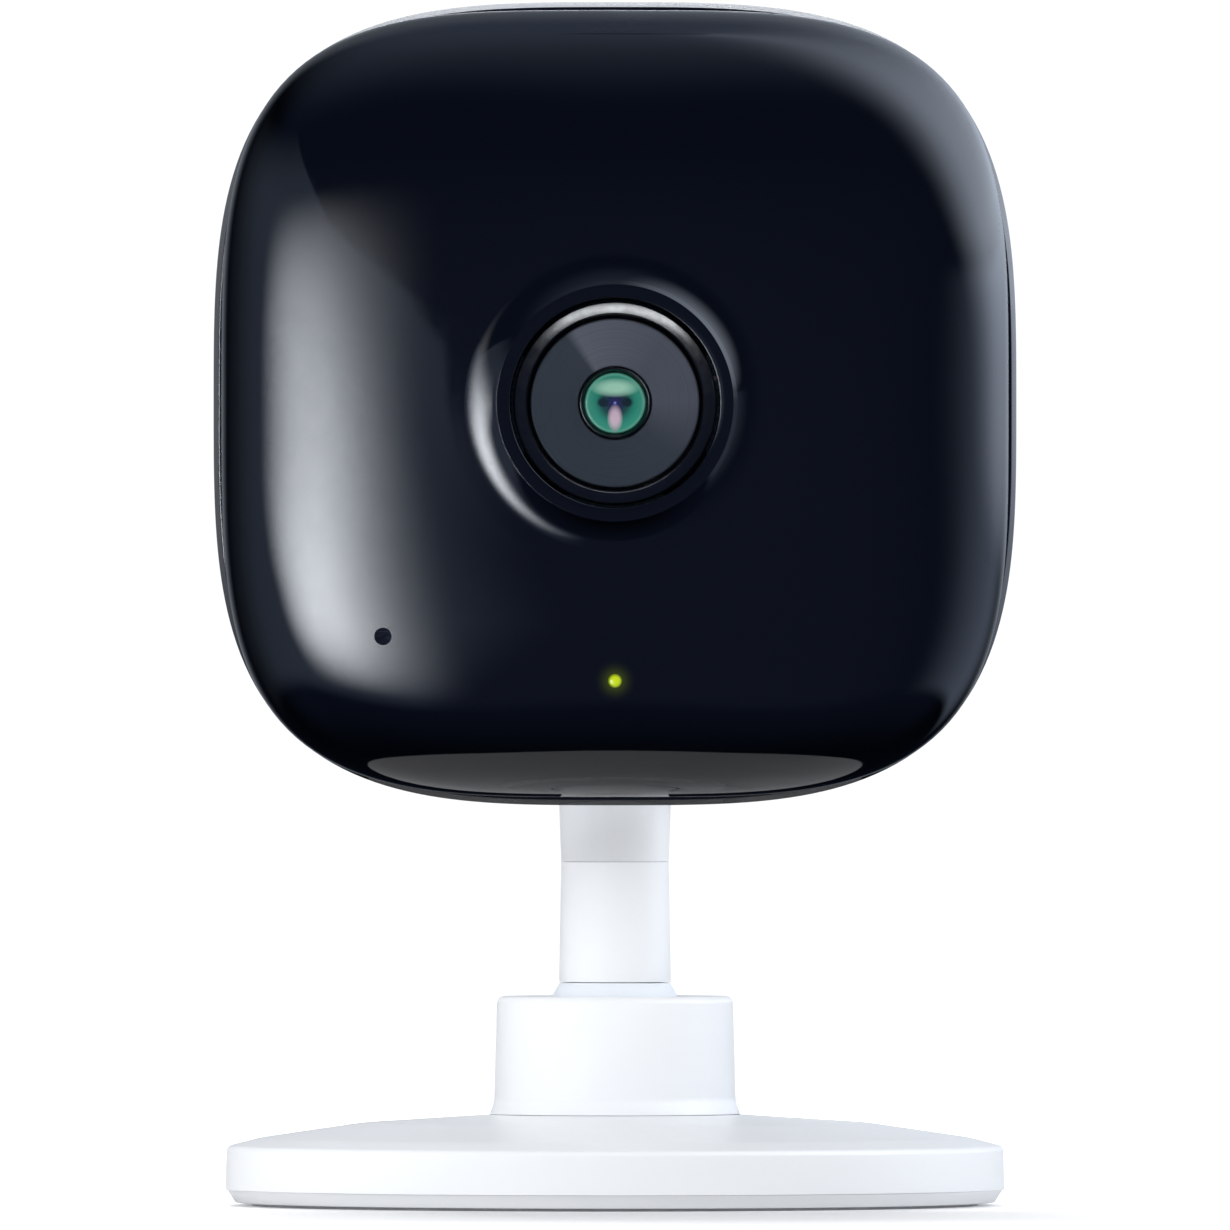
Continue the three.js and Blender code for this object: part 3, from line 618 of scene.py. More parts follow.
def build_front_cover():
    """The pillow-shaped cover and the lip round its lens well. Its two small holes are cut last, and
    it keeps the normals that it had before them, so that the gloss runs on smoothly round them."""
    half = cover_high[0]
    back = cover_high[1]
    edge_fillet, mouth_fillet, brow_fillet = 0.15, 0.08, 0.04
    crest, foot = WELL + 1.1, WELL + 3.8
    brim = crest + 0.3
    flank_steps, face_steps, inner_steps = 36, 56, 16
    outline = filleted([
        (WELL, FACE + WALL),
        (WELL, FACE - LIP, mouth_fillet),
        (crest, FACE - LIP, brow_fillet),
        (brim, lip_front(brim, crest, foot)),
    ])
    for step in range(5, flank_steps + 1):        # the steps before it lie within the brim
        radius = crest + (foot - crest) * step / flank_steps
        outline.append((radius, lip_front(radius, crest, foot)))
    start = math.degrees(math.asin((foot / half) ** 2))
    for step in range(1, face_steps + 1):
        share, depth = pillow(start + (90 - start) * step / face_steps)
        outline.append((half * share, FACE + (ROLL - edge_fillet) * depth))
    outline += arc((half - edge_fillet, back - edge_fillet), (edge_fillet, edge_fillet), 15, 90, 4)
    inner_half = half - WALL
    for step in range(inner_steps + 1):
        share, depth = pillow(90 - (90 - start) * step / inner_steps)
        outline.append((inner_half * share, FACE + WALL + (ROLL - WALL) * depth))
    square_from, square_to = WELL + 5, half * 0.9
    mesh = turned(outline, "Y", SHELL, (0, 0, AXIS), COVER_SQUARE, (square_from, square_to))
    cover = as_object("front_cover_shell", mesh)
    smooth = cover.copy()
    smooth.data = cover.data.copy()
    bpy.context.scene.collection.objects.link(smooth)
    for face in smooth.data.polygons:
        face.use_smooth = True
    led_clearance = 0.06
    for (x, z), radius in ((MIC, MIC_RADIUS), ((0, LED_UP), LED_RADIUS + led_clearance)):
        cut(cover, bar(radius, FACE - 1, FACE + 8, x, z))
    for face in cover.data.polygons:
        face.use_smooth = True
    carry = cover.modifiers.new("smooth normals", "DATA_TRANSFER")
    carry.object = smooth
    carry.use_loop_data = True
    carry.data_types_loops = {"CUSTOM_NORMAL"}
    carry.loop_mapping = "POLYINTERP_NEAREST"
    applied(cover)
    bpy.data.objects.remove(smooth)
    dressed(cover, "head", "front_cover", "cover")


def build_trim_ring():
    """The band between the cover and the housing. A tongue inside it closes the seam on each side."""
    half = trim_high[0]
    front, back = trim_low[1], trim_high[1]
    inner, chamfer_in, chamfer_back = half - 2.2, 0.45, 0.6
    tongue, tongue_inner, overlap = half - 2.65, half - 3.2, 1.2
    outline = filleted([
        (tongue_inner, back + overlap),
        (tongue_inner, front - overlap),
        (tongue, front - overlap, 0.1),
        (tongue, front),
        (inner, front),
        (half - chamfer_in, front, 0.2),
        (half, front + chamfer_back, 0.3),
        (half, back, 0.15),
        (tongue, back),
        (tongue, back + overlap, 0.1),
    ])
    ring = as_object("trim_ring_band", turned(outline, "Y", SHELL, (0, 0, AXIS), HEAD_SQUARE))
    return finished(ring, "head", "gloss_black", "trim_ring")


def screw_boss_places():
    return [(middle(f"chassis_screw_{i}")[0], middle(f"chassis_screw_{i}")[2]) for i in range(1, 5)]


def speaker_hole_places():
    """A round patch of a square grid, in the middle of the speaker."""
    centre = middle("speaker_driver")
    pitch = 3
    reach = range(-2, 3)
    return [
        (centre[0] + column * pitch, centre[2] + row * pitch)
        for column in reach
        for row in reach
        if math.hypot(column, row) < 2.3
    ]


def countersunk(radius, chamfer, start, face, x, z, segments=SMALL):
    """A hole's tool along Y: a bar that opens out by the chamfer where it meets the face."""
    outline = [
        (0, start),
        (radius, start),
        (radius, face - chamfer),
        (radius + chamfer * 2, face + chamfer),
        (0, face + chamfer),
    ]
    return turned(outline, "Y", segments, (x, 0, z))


def housing_shell():
    """The hollow shell: a flat back, rolled sides and a rounded front edge."""
    half = housing_high[0]
    front, back = housing_low[1], housing_high[1]
    inside = back - WALL
    roll_out, roll_back = 8.5, 11
    centre = (half - roll_out, back - roll_back)
    flat, flat_end = half * 0.35, half - roll_out - 1.5
    edge, inner_edge = 0.25, 0.1
    outline = [(0, back), (flat, back), (flat_end, back)]
    outline += arc(centre, (roll_out, roll_back), 90, 0, 20)
    outline += arc((half - edge, front + edge), (edge, edge), 0, -90, 4)
    inner_centre = (half - WALL + inner_edge, front + inner_edge)
    outline += arc(inner_centre, (inner_edge, inner_edge), -90, -180, 3)
    outline += arc(centre, (roll_out - WALL, roll_back - WALL), 0, 90, 10)
    outline += [(flat, inside), (0, inside)]
    return as_object("rear_housing_shell", turned(outline, "Y", SHELL, (0, 0, AXIS), HEAD_SQUARE))


def add_screw_bosses(shell, inside):
    """Posts for the chassis screws, each with a pilot hole narrower than the screw."""
    boss_radius = 2.3
    screw_low, screw_high = box_mm("chassis_screw_1")
    pilot = (screw_high[0] - screw_low[0]) * 0.3
    front = box_mm("inner_chassis")[1][1] + 0.3
    for x, z in screw_boss_places():
        add(shell, bar(boss_radius, front, inside + 0.4, x, z))
        cut(shell, bar(pilot, front - 1, front + 8, x, z))


def slab(x, z, half_width, half_height, start, end, radius):
    """A rounded box along Y round the point (x, z)."""
    return rounded_box((x - half_width, start, z - half_height), (x + half_width, end, z + half_height),
                       radius, "Y")


def add_plug_recess(shell, back):
    """A walled pocket with a lead-in and a window for the socket's mouth in its floor."""
    x, _, z = middle("usb_socket")
    floor = socket_high[1] - 0.6
    half_width, half_height = 6, 3.75
    wall, lead = 1.2, 0.35
    window_half_width, window_half_height = 4.8, 2
    add(shell, slab(x, z, half_width + wall, half_height + wall, floor - 1, back - 0.5, 2.6))
    cut(shell, slab(x, z, half_width, half_height, floor, back + 1, 1.4))
    cut(shell, slab(x, z, half_width + lead, half_height + lead, back - lead, back + 1, 1.7))
    cut(shell, slab(x, z, window_half_width, window_half_height, floor - 2, floor + 1, 1.6))


def build_rear_housing():
    """The white housing, with its holes, the plug recess, a shallow label recess and the neck's hole."""
    back = housing_high[1]
    inside = back - WALL
    shell = housing_shell()
    add_screw_bosses(shell, inside)
    add_plug_recess(shell, back)
    button_x, _, button_z = middle("reset_button")
    button_hole, speaker_hole, grille_segments = 1.5, 0.8, 32
    cut(shell, countersunk(button_hole, 0.12, back - 5, back, button_x, button_z))
    for x, z in speaker_hole_places():
        cut(shell, countersunk(speaker_hole, 0.1, inside - 1, back, x, z, grille_segments))
    label_half, label_bottom, label_top, label_depth = 12, AXIS - 9, AXIS + 0.5, 0.2
    cut(shell, rounded_box((-label_half, back - label_depth, label_bottom),
                           (label_half, back + 1, label_top), 1.5, "Y"))
    neck_top, neck_hole = collar_high[2], 4.97
    cut(shell, bar(neck_hole, neck_top - 9, neck_top, 0, 0, "Z", FINE))
    return finished(shell, "head", "white", "rear_housing")


# ---- lens
def lens_piece(name, outline, finish, slot, node, segments=FINE, weighted=True):
    piece = as_object(name, turned(outline, "Y", segments, (0, 0, AXIS)))
    return finished(piece, "head", slot, node, finish, weighted)


def build_lens():
    """The ring, the disc, the rim and the glass, from the outside in. All but the glass have a small chamfer."""
    chamfer = 0.12
    outer, inner = surround_high[0], plate_high[0] + 0.3
    front, back = surround_low[1], surround_high[1]
    land, cone_fall = 0.15, 0.21
    ring = lens_piece("lens_surround_ring", filleted([
        (inner, back),
        (inner, front + land, 0.05),
        (inner + land, front, 0.08),
        (outer, front + cone_fall, 0.18),
        (outer, back),
    ]), "ring", "gloss_black", "lens_surround", ROUND)
    outer, front, back = plate_high[0], plate_low[1], plate_high[1]
    hole = rim_high[0] + chamfer
    lens_piece("lens_face_disc", filleted([
        (hole, back),
        (hole, front + land, 0.06),
        (outer - chamfer, front, 0.06),
        (outer, front + chamfer, 0.05),
        (outer, back),
    ]), "graphite", "graphite", "lens_face_plate", ROUND)
    outer, front, back = rim_high[0], rim_low[1], rim_high[1]
    bore, bevel = glass_high[0] + 0.08, 0.32
    lens_piece("lens_rim", filleted([
        (bore, back),
        (bore, front + bevel, 0.05),
        (outer - chamfer, front, 0.06),
        (outer, front + chamfer, 0.05),
        (outer, back),
    ]), "gloss_black", "gloss_black", "lens_retaining_ring")
    radius, front, back = glass_high[0], glass_low[1], glass_high[1]
    sag, dome_steps = 0.55, 14
    curve = (radius**2 + sag**2) / (2 * sag)
    outline = []
    for step in range(dome_steps + 1):
        angle = math.asin(radius / curve) * step / dome_steps
        outline.append((curve * math.sin(angle), front + curve * (1 - math.cos(angle))))
    outline += [(radius, back), (0, back)]
    glass = lens_piece("lens_dome", outline, "lens_glass", "lens_glass", "lens_front_element",
                       weighted=False)
    return ring, glass


def build_indicator():
    """A slim tip with a slightly domed end, which widens to the stem behind the cover."""
    front, back = pipe_low[1], pipe_high[1]
    stem, shoulder_front, shoulder_back = 1.6, -15.6, -14.6
    outline = [
        (0, front),
        (0.3, front + 0.02),
        (LED_RADIUS - 0.08, front + 0.06),
        (LED_RADIUS, front + 0.14),
        (LED_RADIUS, shoulder_front),
        (stem, shoulder_back),
        (stem, back),
        (0, back),
    ]
    tip = as_object("light_pipe_tip", turned(outline, "Y", SMALL, (0, 0, LED_UP)))
    finished(tip, "head", "indicator", "led_light_pipe")


# ---- neck and hub
def build_neck():
    """The collar on the head and the sleeve below it, which narrow towards the seam between them."""
    seam, half_gap = (sleeve_high[2] + collar_low[2]) / 2, 0.015
    bottom, top = seam + half_gap, collar_high[2]
    foot = housing_low[2]
    wide, slim = sleeve_high[0], sleeve_high[0] - 0.17
    flange, flange_low = collar_high[0], top - 0.7
    bolt_bore, sleeve_bore = 1.9, 2.9
    washer_seat, seat_depth = 3.8, 0.6
    collar = filleted([
        (slim, bottom, 0.03),
        (wide, foot - 0.2),
        (wide, flange_low),
        (flange, flange_low, 0.15),
        (flange, top, 0.15),
        (bolt_bore, top),
        (bolt_bore, bottom + seat_depth),
        (washer_seat, bottom + seat_depth),
        (washer_seat, bottom, 0.08),
    ])
    piece = as_object("head_collar_moulding", turned(collar, "Z", FINE))
    collar_piece = finished(piece, "head", "white", "head_collar")
    bottom, top = sleeve_low[2] - 0.06, seam - half_gap
    sleeve = filleted([
        (wide, bottom, 0.05),
        (slim, top, 0.03),
        (washer_seat, top, 0.05),
        (washer_seat, top - seat_depth),
        (sleeve_bore, top - seat_depth),
        (sleeve_bore, bottom),
    ])
    piece = as_object("neck_sleeve_moulding", turned(sleeve, "Z", FINE))
    finished(piece, "neck", "white", "neck_sleeve")
    return collar_piece


def build_ball():
    """The ball with a flat foot, and the hollow stem that the sleeve and the bolt go on."""
    radius = ball_high[0]
    flat, top = ball_low[2], ball_high[2]
    foot_radius = 4.57                # where the ball meets the sleeve
    stem, bolt_hole, hole_depth = 2.7, 1.6, 5.5
    centre = middle_of_ball()
    foot = centre + math.sqrt(radius**2 - foot_radius**2)
    start = math.degrees(math.asin((flat - centre) / radius))
    end = math.degrees(math.asin((foot - centre) / radius))
    outline = [(0, flat)] + arc((0, centre), (radius, radius), start, end, 26)
    outline += [(stem, foot), (stem, top), (bolt_hole, top), (bolt_hole, top - hole_depth),
                (0, top - hole_depth)]
    ball = as_object("ball_moulding", turned(outline, "Z", FINE))
    finished(ball, "neck", "cool_white", "ball_stud")


def middle_of_ball():
    """The height of the ball's middle, which the tilt turns about."""
    tilt = next(joint for joint in frame["joints"] if joint["name"] == "neck_tilt")
    return tilt["pos_m"][2] / MM


def build_hub():
    """A drum with a flared foot, a bore for the ball cup and a slot at the back for the neck."""
    bottom, top = dome_high[2] + 0.03, hub_high[2]
    wide = hub_high[0]
    mouth, socket, cup_bore, plate_seat = 5.4, 5.9, 6.75, 9.2
    cup_top, socket_foot = 12.9, 13.4
    outline = filleted([
        (wide, bottom, 0.06),
        (wide - 0.42, bottom + 1.2, 1.6),
        (wide - 0.65, top, 0.6),
        (mouth, top, 0.3),
        (socket, middle_of_ball() + 0.6, 1.0),
        (socket, socket_foot),
        (cup_bore, cup_top),
        (cup_bore, bottom + 1),
        (plate_seat, bottom + 1),
        (plate_seat, bottom),
    ])
    hub = as_object("hub_drum", turned(outline, "Z", ROUND))
    slot_half, slot_floor, slot_start = 5, 13.3, 2
    cut(hub, rounded_box((-slot_half, slot_start, slot_floor), (slot_half, wide + 1, top + 3), 0.8, "Y"))
    finished(hub, "hub", "white", "hub_shell")


# ---- base
def build_base_cover():
    """A shallow dome with a rolled rim, hollow below."""
    radius, bottom, top = dome_high[0], band_high[2] + 0.01, dome_high[2]
    rim = bottom + 3.6
    hub, pan_hole = hub_high[0] + 0.3, 3.3
    shoulder, shoulder_drop = 21.3, 0.68
    underside, inner = top - 2, radius - 1.8
    outline = filleted([
        (radius, bottom, 0.03),
        (radius - 0.1, rim, 0.55),
        (radius - 2.9, rim + 0.72, 5),
        (shoulder, top - shoulder_drop, 12),
        (hub, top, 6),
        (pan_hole, top, 0.1),
        (pan_hole, underside),
        (18, underside - 0.5, 2),
        (inner, underside - 2.4, 1),
        (inner, bottom),
    ])
    cover = as_object("base_dome", turned(outline, "Z", SHELL))
    finished(cover, "base", "white", "base_cover")


def screw_places():
    return [middle(f"base_screw_{i}")[:2] for i in range(1, 4)]


def build_bottom_plate():
    """The plate with a groove for the foot ring and counterbored screw holes, and the ring itself."""
    radius, bottom, top = band_high[0], band_low[2], band_high[2]
    taper, groove_depth, clearance = 0.7, 0.75, 0.2
    ring_inner, ring_outer, ring_top = 24.2, foot_high[0], foot_high[2]
    outline = filleted([(0, bottom), (radius - taper, bottom, 0.25), (radius, top, 0.03), (0, top)])
    plate = as_object("bottom_plate_moulding", turned(outline, "Z", SHELL))
    inner, outer = ring_inner - clearance, ring_outer + clearance
    cut(plate, turned([(inner, -1), (outer, -1), (outer, groove_depth), (inner, groove_depth)],
                      "Z", ROUND))
    head_hole, shank_hole = (2.15, 0.85), (1.3, 3)
    for x, y in screw_places():
        for hole, end in (head_hole, shank_hole):
            cut(plate, bar(hole, -1, end, x, y, "Z"))
    finished(plate, "base", "cool_white", "base_bottom_plate", "white")
    pad = filleted([(ring_inner, 0, 0.12), (ring_outer, 0, 0.12), (ring_outer, ring_top),
                    (ring_inner, ring_top)])
    ring = as_object("foot_ring", turned(pad, "Z", ROUND))
    finished(ring, "base", "rubber", "foot_pad")


def build_base_screws():
    """Pan-head screws with a cross recess."""
    head_height, shank, point = 0.45, 1.1, 1
    cross_long, cross_wide, cross_deep = 1.15, 0.22, 0.3
    for i, (x, y) in enumerate(screw_places(), 1):
        low, high = box_mm(f"base_screw_{i}")
        head = (high[0] - low[0]) / 2
        bottom, top = low[2], high[2]
        outline = filleted([
            (0, bottom),
            (head, bottom, 0.3),
            (head, bottom + head_height),
            (shank, bottom + head_height),
            (shank, top - point),
            (0, top),
        ])
        name = f"base_screw_moulding_{i}"
        piece = as_object(name, turned(outline, "Z", SMALL, (x, y, 0)))
        for across, up in ((cross_long, cross_wide), (cross_wide, cross_long)):
            cut(piece, rounded_box((x - across, y - up, bottom - 1),
                                   (x + across, y + up, bottom + cross_deep), 0.1, "Z", 2))
        finished(piece, "base", "steel", f"base_screw_{i}")


# ---- back of the head
def build_socket():
    """A thin rounded shell with a tongue inside."""
    x, _, z = middle("usb_socket")
    half_width = (socket_high[0] - socket_low[0]) / 2
    half_height = (socket_high[2] - socket_low[2]) / 2
    front, back = socket_low[1], socket_high[1]
    skin, tongue_half_width, tongue_half_height = 0.32, 3.2, 0.35
    shell = as_object("charging_socket", slab(x, z, half_width, half_height, front, back, 1.4))
    cut(shell, slab(x, z, half_width - skin, half_height - skin, front + 1, back + 1, 1.1))
    add(shell, slab(x, z, tongue_half_width, tongue_half_height, front + 0.5, back - 0.5, 0.3))
    finished(shell, "head", "steel", "usb_socket")


def build_reset_button():
    """A cap with a flange that keeps it in the housing and a dished top."""
    x, _, z = middle("reset_button")
    brim, flange_thickness, dish = 0.8, 0.8, 0.14
    flange = (button_high[0] - button_low[0]) / 2
    radius = flange - brim
    front, back = button_low[1], button_high[1]
    flange_back = back - 2.05
    flange_front = flange_back - flange_thickness
    outline = filleted([
        (0, front),
        (radius, front, 0.1),
        (radius, flange_front),
        (flange, flange_front, 0.1),
        (flange, flange_back, 0.1),
        (radius, flange_back),
        (radius, back, 0.3),
        (0.5, back - 0.12, 0.4),
        (0, back - dish),
    ])
    piece = as_object("reset_button_cap", turned(outline, "Y", SMALL, (x, 0, z)))
    finished(piece, "reset_button", "cool_white", "reset_button")


# ---- carried-over CAD nodes
def dress_cad_nodes():
    """Every CAD node that stays gets the procedural finish of its slot."""
    slots = {part["node"]: part["material_slot"] for part in frame["record"]["subparts"]}
    for name, node in frame["nodes"].items():
        node.data.materials.clear()
        node.data.materials.append(look(slots[name]))


# ---- studio
def between(corners, elevation):
    """The azimuth of an edge given by (elevation, azimuth) corners."""
    for (low, first), (high, second) in zip(corners, corners[1:]):
        if elevation <= high:
            return first + (second - first) * (elevation - low) / (high - low)
    return corners[-1][1]


def soft_box(name, start, end, colour, strength, across=(None, None), up=(None, None)):
    """A curved soft box round the head, seen only in reflections and adding to what is behind it.

    Azimuth 0 is straight in front, 90 to the left of the picture. start and end are its two upright
    edges as (elevation, azimuth) corners. across and up hold where its brightness has risen and
    where it falls, as pairs of shares of the box's own width and height."""
    columns, rows, distance = 64, 32, 1.2
    bottom, top = start[0][0], start[-1][0]
    mesh = bmesh.new()
    layer = mesh.loops.layers.uv.new("UVMap")
    grid = []
    for i in range(columns + 1):
        line = []
        for j in range(rows + 1):
            elevation = bottom + (top - bottom) * j / rows
            first, last = between(start, elevation), between(end, elevation)
            azimuth = math.radians(first + (last - first) * i / columns)
            flat = distance * math.cos(math.radians(elevation))
            height = distance * math.sin(math.radians(elevation))
            place = (-flat * math.sin(azimuth), -flat * math.cos(azimuth), AXIS * MM + height)
            line.append(mesh.verts.new(place))
        grid.append(line)
    for i in range(columns):
        for j in range(rows):
            corners = ((i, j), (i + 1, j), (i + 1, j + 1), (i, j + 1))
            face = mesh.faces.new([grid[a][b] for a, b in corners])
            for loop, (a, b) in zip(face.loops, corners):
                loop[layer].uv = (a / columns, b / rows)
    box = as_object(name, mesh)
    material = bpy.data.materials.new(name)
    material.use_nodes = True
    nodes, links = material.node_tree.nodes, material.node_tree.links
    nodes.clear()
    parts = nodes.new("ShaderNodeSeparateXYZ")
    links.new(nodes.new("ShaderNodeTexCoord").outputs["UV"], parts.inputs[0])
    value = None
    for output, (rise, fall) in ((parts.outputs[0], across), (parts.outputs[1], up)):
        for slope, ends in ((rise, (0, 1)), (fall, (1, 0))):
            if not slope:
                continue
            step = nodes.new("ShaderNodeMapRange")
            step.interpolation_type = "SMOOTHSTEP"
            for socket, number in zip(step.inputs[1:5], (*slope, *ends)):
                socket.default_value = number
            links.new(output, step.inputs[0])
            times = nodes.new("ShaderNodeMath")
            times.operation = "MULTIPLY"
            times.inputs[1].default_value = strength
            if value is not None:
                links.new(value, times.inputs[1])
            links.new(step.outputs[0], times.inputs[0])
            value = times.outputs[0]
    light = nodes.new("ShaderNodeEmission")
    light.inputs["Color"].default_value = (*colour, 1)
    links.new(value, light.inputs["Strength"])
    clear = nodes.new("ShaderNodeBsdfTransparent")
    both = nodes.new("ShaderNodeAddShader")
    out = nodes.new("ShaderNodeOutputMaterial")
    links.new(light.outputs[0], both.inputs[0])
    links.new(clear.outputs[0], both.inputs[1])
    links.new(both.outputs[0], out.inputs[0])
    box.data.materials.append(material)
    box.visible_camera = False
    box.visible_diffuse = False
    box.visible_transmission = False
    box.visible_volume_scatter = False
    box.visible_shadow = False
    return box


def build_soft_boxes():
    """The large soft boxes whose reflections draw the black face. Returns those at the sides."""
    left = soft_box(
        "soft_box_left", [(-33, 6), (16, 8)], [(-33, 52), (-10, 68), (0, 82), (16, 73)],
        (0.954, 1.0, 1.05), 15.1, across=((0.0, 0.37), (0.42, 0.88)), up=((0.02, 0.43), (0.49, 0.97)))
    # The edge's crisp slanting border ends where the soft box below it takes over.
    tint = (0.8, 1.0, 1.3)
    edge = soft_box(
        "soft_box_left_edge", [(-6, 2), (2.6, 6), (5.5, 11), (9, 26), (33, 66)],
        [(-6, 140), (33, 140)], tint, 0.42, across=((0.0, 0.008), (0.3, 1.0)),
        up=((0.0, 0.23), (0.5, 1.0)))
    under = soft_box(
        "soft_box_left_low", [(-37, 8), (-12, 2), (3, 3)], [(-37, 140), (3, 140)], tint, 0.42,
        across=((0.0, 0.06), (0.3, 1.0)), up=((0.0, 0.24), (0.775, 1.0)))
    soft_box(
        "soft_box_halo", [(-37, -60), (25, -60)], [(-37, 110), (25, 110)],
        (0.85, 1.0, 1.8), 0.058, across=((0.0, 0.35), (0.8, 1.0)), up=((0.0, 0.1), (0.55, 0.95)))
    right = soft_box(
        "soft_box_right",
        [(-6, -80), (2, -58), (10, -38), (20, -24), (40, -6), (60, 6), (88, 16)],
        [(-6, -180), (88, -180)], (0.89, 1.0, 1.19), 3.85,
        across=((0.06, 0.4), (0.4, 1.05)), up=((0.0, 0.17), (0.32, 1.25)))
    low = soft_box(
        "soft_box_right_low", [(-39, -34), (6, -34)], [(-39, -150), (6, -150)],
        (0.83, 1.0, 1.35), 0.85, across=((0.05, 0.55), (0.6, 1.0)), up=((0.0, 0.15), (0.95, 1.0)))
    soft_box(
        "soft_box_top", [(30, 180), (89.5, 180)], [(30, -180), (89.5, -180)],
        (0.79, 1.0, 1.47), 0.5, up=((0.0, 1.0), None))
    soft_box(
        "soft_box_front", [(-75, 110), (75, 110)], [(-75, -110), (75, -110)],
        (0.66, 1.0, 2.2), 0.072, across=((0.0, 0.2), (0.8, 1.0)), up=((0.0, 0.3), (0.8, 1.0)))
    soft_box(
        "soft_box_rear", [(-25, 230), (75, 230)], [(-25, 130), (75, 130)],
        (0.9, 1.0, 1.15), 0.28, across=((0.0, 0.25), (0.75, 1.0)), up=((0.0, 0.2), (0.7, 1.0)))
    return left, edge, under, right, low


def build_rim_boxes(trim):
    """Boxes behind the head whose light runs along the trim ring's chamfer and nowhere else."""
    rim = soft_box("soft_box_rim", [(-50, 260), (89.5, 260)], [(-50, 88), (89.5, 88)],
                   (0.95, 1.0, 1.08), 1.5, up=((0.0, 0.5), None))
    crown = soft_box("soft_box_crown", [(20, 255), (89.5, 255)], [(20, 105), (89.5, 105)],
                     (0.96, 1.0, 1.05), 7.5, up=((0.2, 0.75), None))
    for box in (rim, crown):
        only_for(box, trim)


def receivers(lamp, pieces):
    """A group of pieces that the lamp's light is linked to."""
    group = bpy.data.collections.new(lamp.name + "_receivers")
    for piece in pieces:
        group.objects.link(piece)
    lamp.light_linking.receiver_collection = group
    return group


def only_for(lamp, *pieces):
    """The lamp lights these pieces alone."""
    receivers(lamp, pieces)


def never_for(lamp, *pieces):
    """The lamp lights everything but these pieces."""
    for link in receivers(lamp, pieces).collection_objects:
        link.light_linking.link_state = "EXCLUDE"


def build_floor():
    """A pale sheet that glows a little, more and more away from the part, until it meets the white
    behind it."""
    reach = 0.6
    mesh = bmesh.new()
    bmesh.ops.create_circle(mesh, cap_ends=True, radius=reach, segments=96)
    floor = as_object("floor", mesh)
    finish = Finish("pale_floor", (0.95, 0.95, 0.95), 0.9)
    finish.vary_colour(finish.noise(8, 3), (0.94, 0.94, 0.945), (0.96, 0.96, 0.96))
    away = finish.nodes.new("ShaderNodeVectorMath")
    away.operation = "LENGTH"
    finish.links.new(finish.place, away.inputs[0])
    finish.shader.inputs["Emission Color"].default_value = (1, 1, 1, 1)
    beside = finish.mapped(away.outputs["Value"], 0.04, 0.06, 0.19, 0.27)
    beyond = finish.mapped(away.outputs["Value"], 0.1, 0.5, 0, 0.6)
    finish.drive("Emission Strength", finish.math("ADD", beside, beyond))
    floor.data.materials.append(finish.material)
    floor.visible_glossy = False


def build_world():
    """White behind the part, paler light on it, and a nearly black room in its reflections."""
    world = bpy.data.worlds.new("studio")
    bpy.context.scene.world = world
    world.use_nodes = True
    nodes, links = world.node_tree.nodes, world.node_tree.links
    nodes.clear()
    rays = nodes.new("ShaderNodeLightPath")

    def background(colour, strength):
        node = nodes.new("ShaderNodeBackground")
        node.inputs[0].default_value = (*colour, 1)
        node.inputs[1].default_value = strength
        return node.outputs[0]

    def switched(ray, otherwise, seen):
        node = nodes.new("ShaderNodeMixShader")
        for socket, value in zip(node.inputs, (rays.outputs[ray], otherwise, seen)):
            links.new(value, socket)
        return node.outputs[0]

    pale, dark = background((1, 1, 1), 0.45), background((0.006, 0.009, 0.018), 1)
    lighting = switched("Is Glossy Ray", pale, dark)
    shown = switched("Is Camera Ray", lighting, background((1, 1, 1), 1.05))
    links.new(shown, nodes.new("ShaderNodeOutputWorld").inputs[0])


def area_light(name, place, size, power, colour=(1, 1, 1), aim_at=(0, 0, 0.04)):
    light = bpy.data.lights.new(name, "AREA")
    light.shape = "RECTANGLE"
    light.size, light.size_y = size
    light.energy = power
    light.color = colour
    lamp = bpy.data.objects.new(name, light)
    bpy.context.scene.collection.objects.link(lamp)
    lamp.location = place
    aim = Vector(aim_at) - Vector(place)
    lamp.rotation_euler = aim.to_track_quat("-Z", "Y").to_euler()
    lamp.visible_camera = False
    lamp.visible_glossy = False
    return lamp


def build_ring_light(ring):
    """A strip above the camera that only the ring round the lens mirrors."""
    lens = Vector((0, FACE * MM, AXIS * MM))
    away, lift = 1.2, math.radians(25)
    place = lens + away * Vector((0.03, -math.cos(lift), math.sin(lift)))
    strip = area_light("ring_strip", place, (0.76, 0.21), 10.5, (0.94, 0.97, 1.0), lens)
    strip.visible_glossy = True
    only_for(strip, ring)


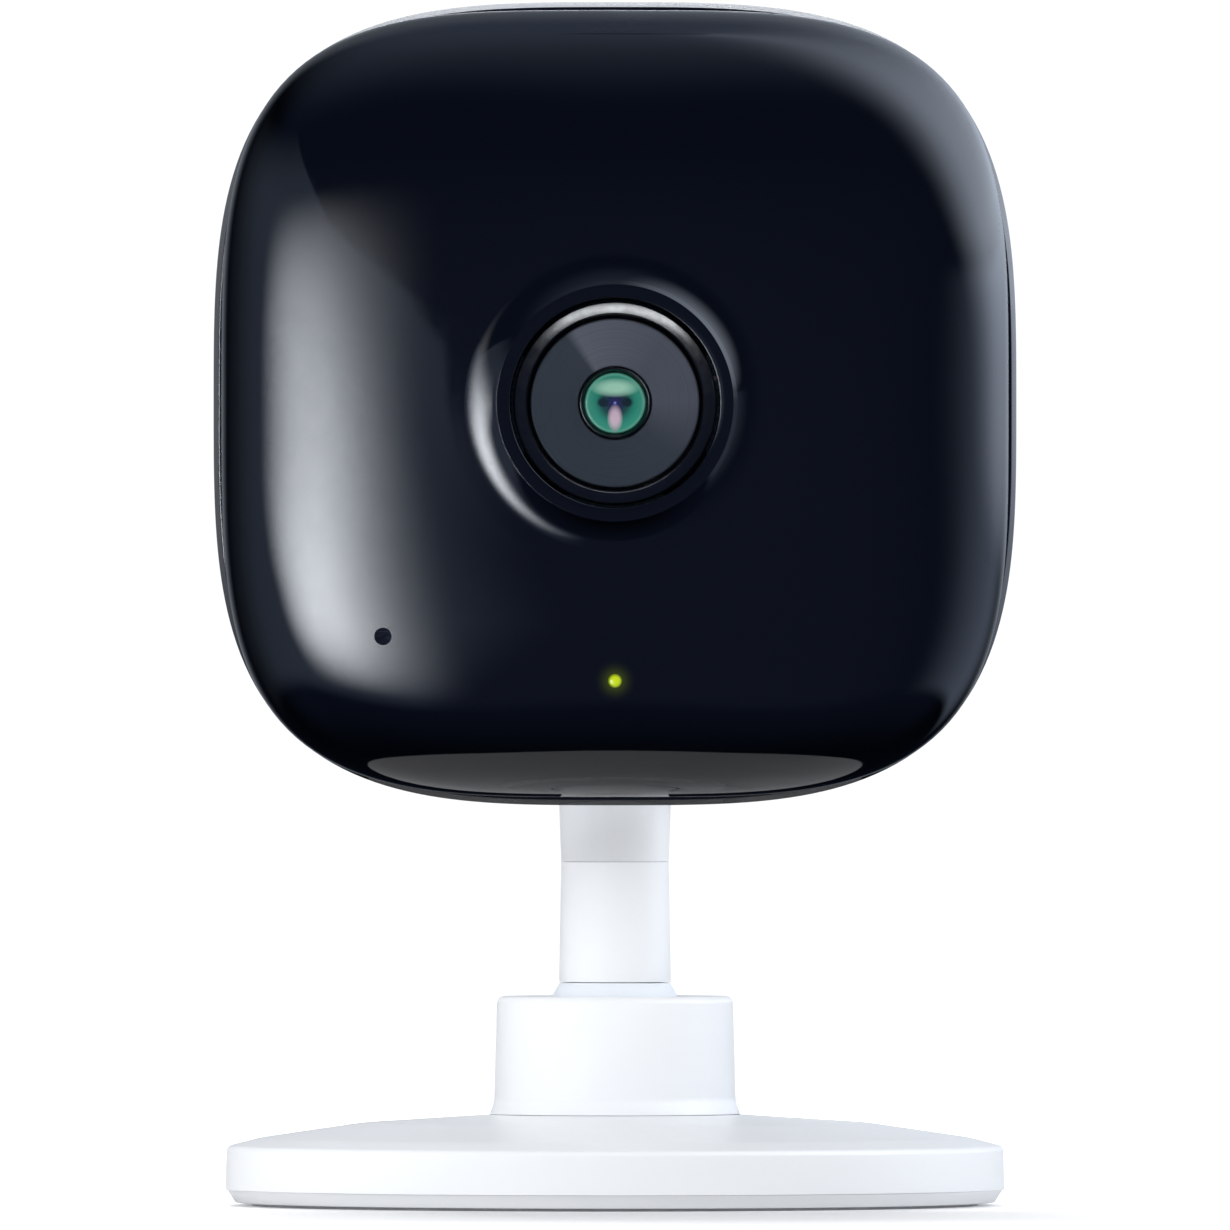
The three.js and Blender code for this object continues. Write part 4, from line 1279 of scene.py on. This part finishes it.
def build_back_lamp():
    """It stands behind and above, and draws the shadow on the floor."""
    return area_light("back", (-0.1, 0.75, 1.0), (0.7, 0.5), 14)


def build_fills(housing, collar):
    """Soft fills that only the white pieces see, so that they don't wash out the floor's shadow.
    The low one is flagged off the collar, which stays in the head's shade, and the broad housing
    gets weaker ones, so that its curves still show when the head has turned round."""
    tint = (0.97, 0.985, 1.0)
    stand = [piece for piece in WHITES if piece != housing]
    for name, place, size, power, housing_power in (
        ("fill", (-0.75, -1.05, 1.2), 0.9, 15.5, 7.5),
        ("rim", (1.3, -0.1, 0.5), 0.6, 4.5, 2),
        ("rear_fill", (-0.5, 1.2, 1.1), 0.9, 7, 5),
    ):
        only_for(area_light(name, place, (size, size), power, tint), *stand)
        only_for(area_light("housing_" + name, place, (size, size), housing_power, tint), housing)
    low = area_light("low_fill", (-0.7, -1.25, 0.12), (0.5, 0.5), 4.6, tint)
    only_for(low, *[piece for piece in stand if piece != collar])


def build_camera():
    """A long lens, level with the middle of the view, straight in front."""
    lens, sensor = 1000, 36
    view_width = 0.1029
    eye_height = 0.04938
    camera = bpy.data.cameras.new("camera")
    camera.lens = lens
    camera.sensor_width = sensor
    camera.clip_end = 20
    item = bpy.data.objects.new("camera", camera)
    bpy.context.scene.collection.objects.link(item)
    item.location = (0, -lens / sensor * view_width, eye_height)
    item.rotation_euler = (math.radians(90), 0, 0)
    bpy.context.scene.camera = item


build_camera()
build_world()
back_lamp = build_back_lamp()
side_boxes = build_soft_boxes()
build_floor()
dress_cad_nodes()
build_front_cover()
trim = build_trim_ring()
build_rim_boxes(trim)
rear_housing = build_rear_housing()
lens_ring, lens_glass = build_lens()
build_ring_light(lens_ring)
build_indicator()
neck_collar = build_neck()
build_ball()
build_hub()
build_base_cover()
build_bottom_plate()
build_base_screws()
build_socket()
build_reset_button()
build_fills(rear_housing, neck_collar)
never_for(back_lamp, *WHITES)
never_for(side_boxes[0], lens_ring, lens_glass, *WHITES)
for box in side_boxes[1:]:
    never_for(box, lens_ring, lens_glass)
bpy.context.scene.view_settings.view_transform = "Standard"
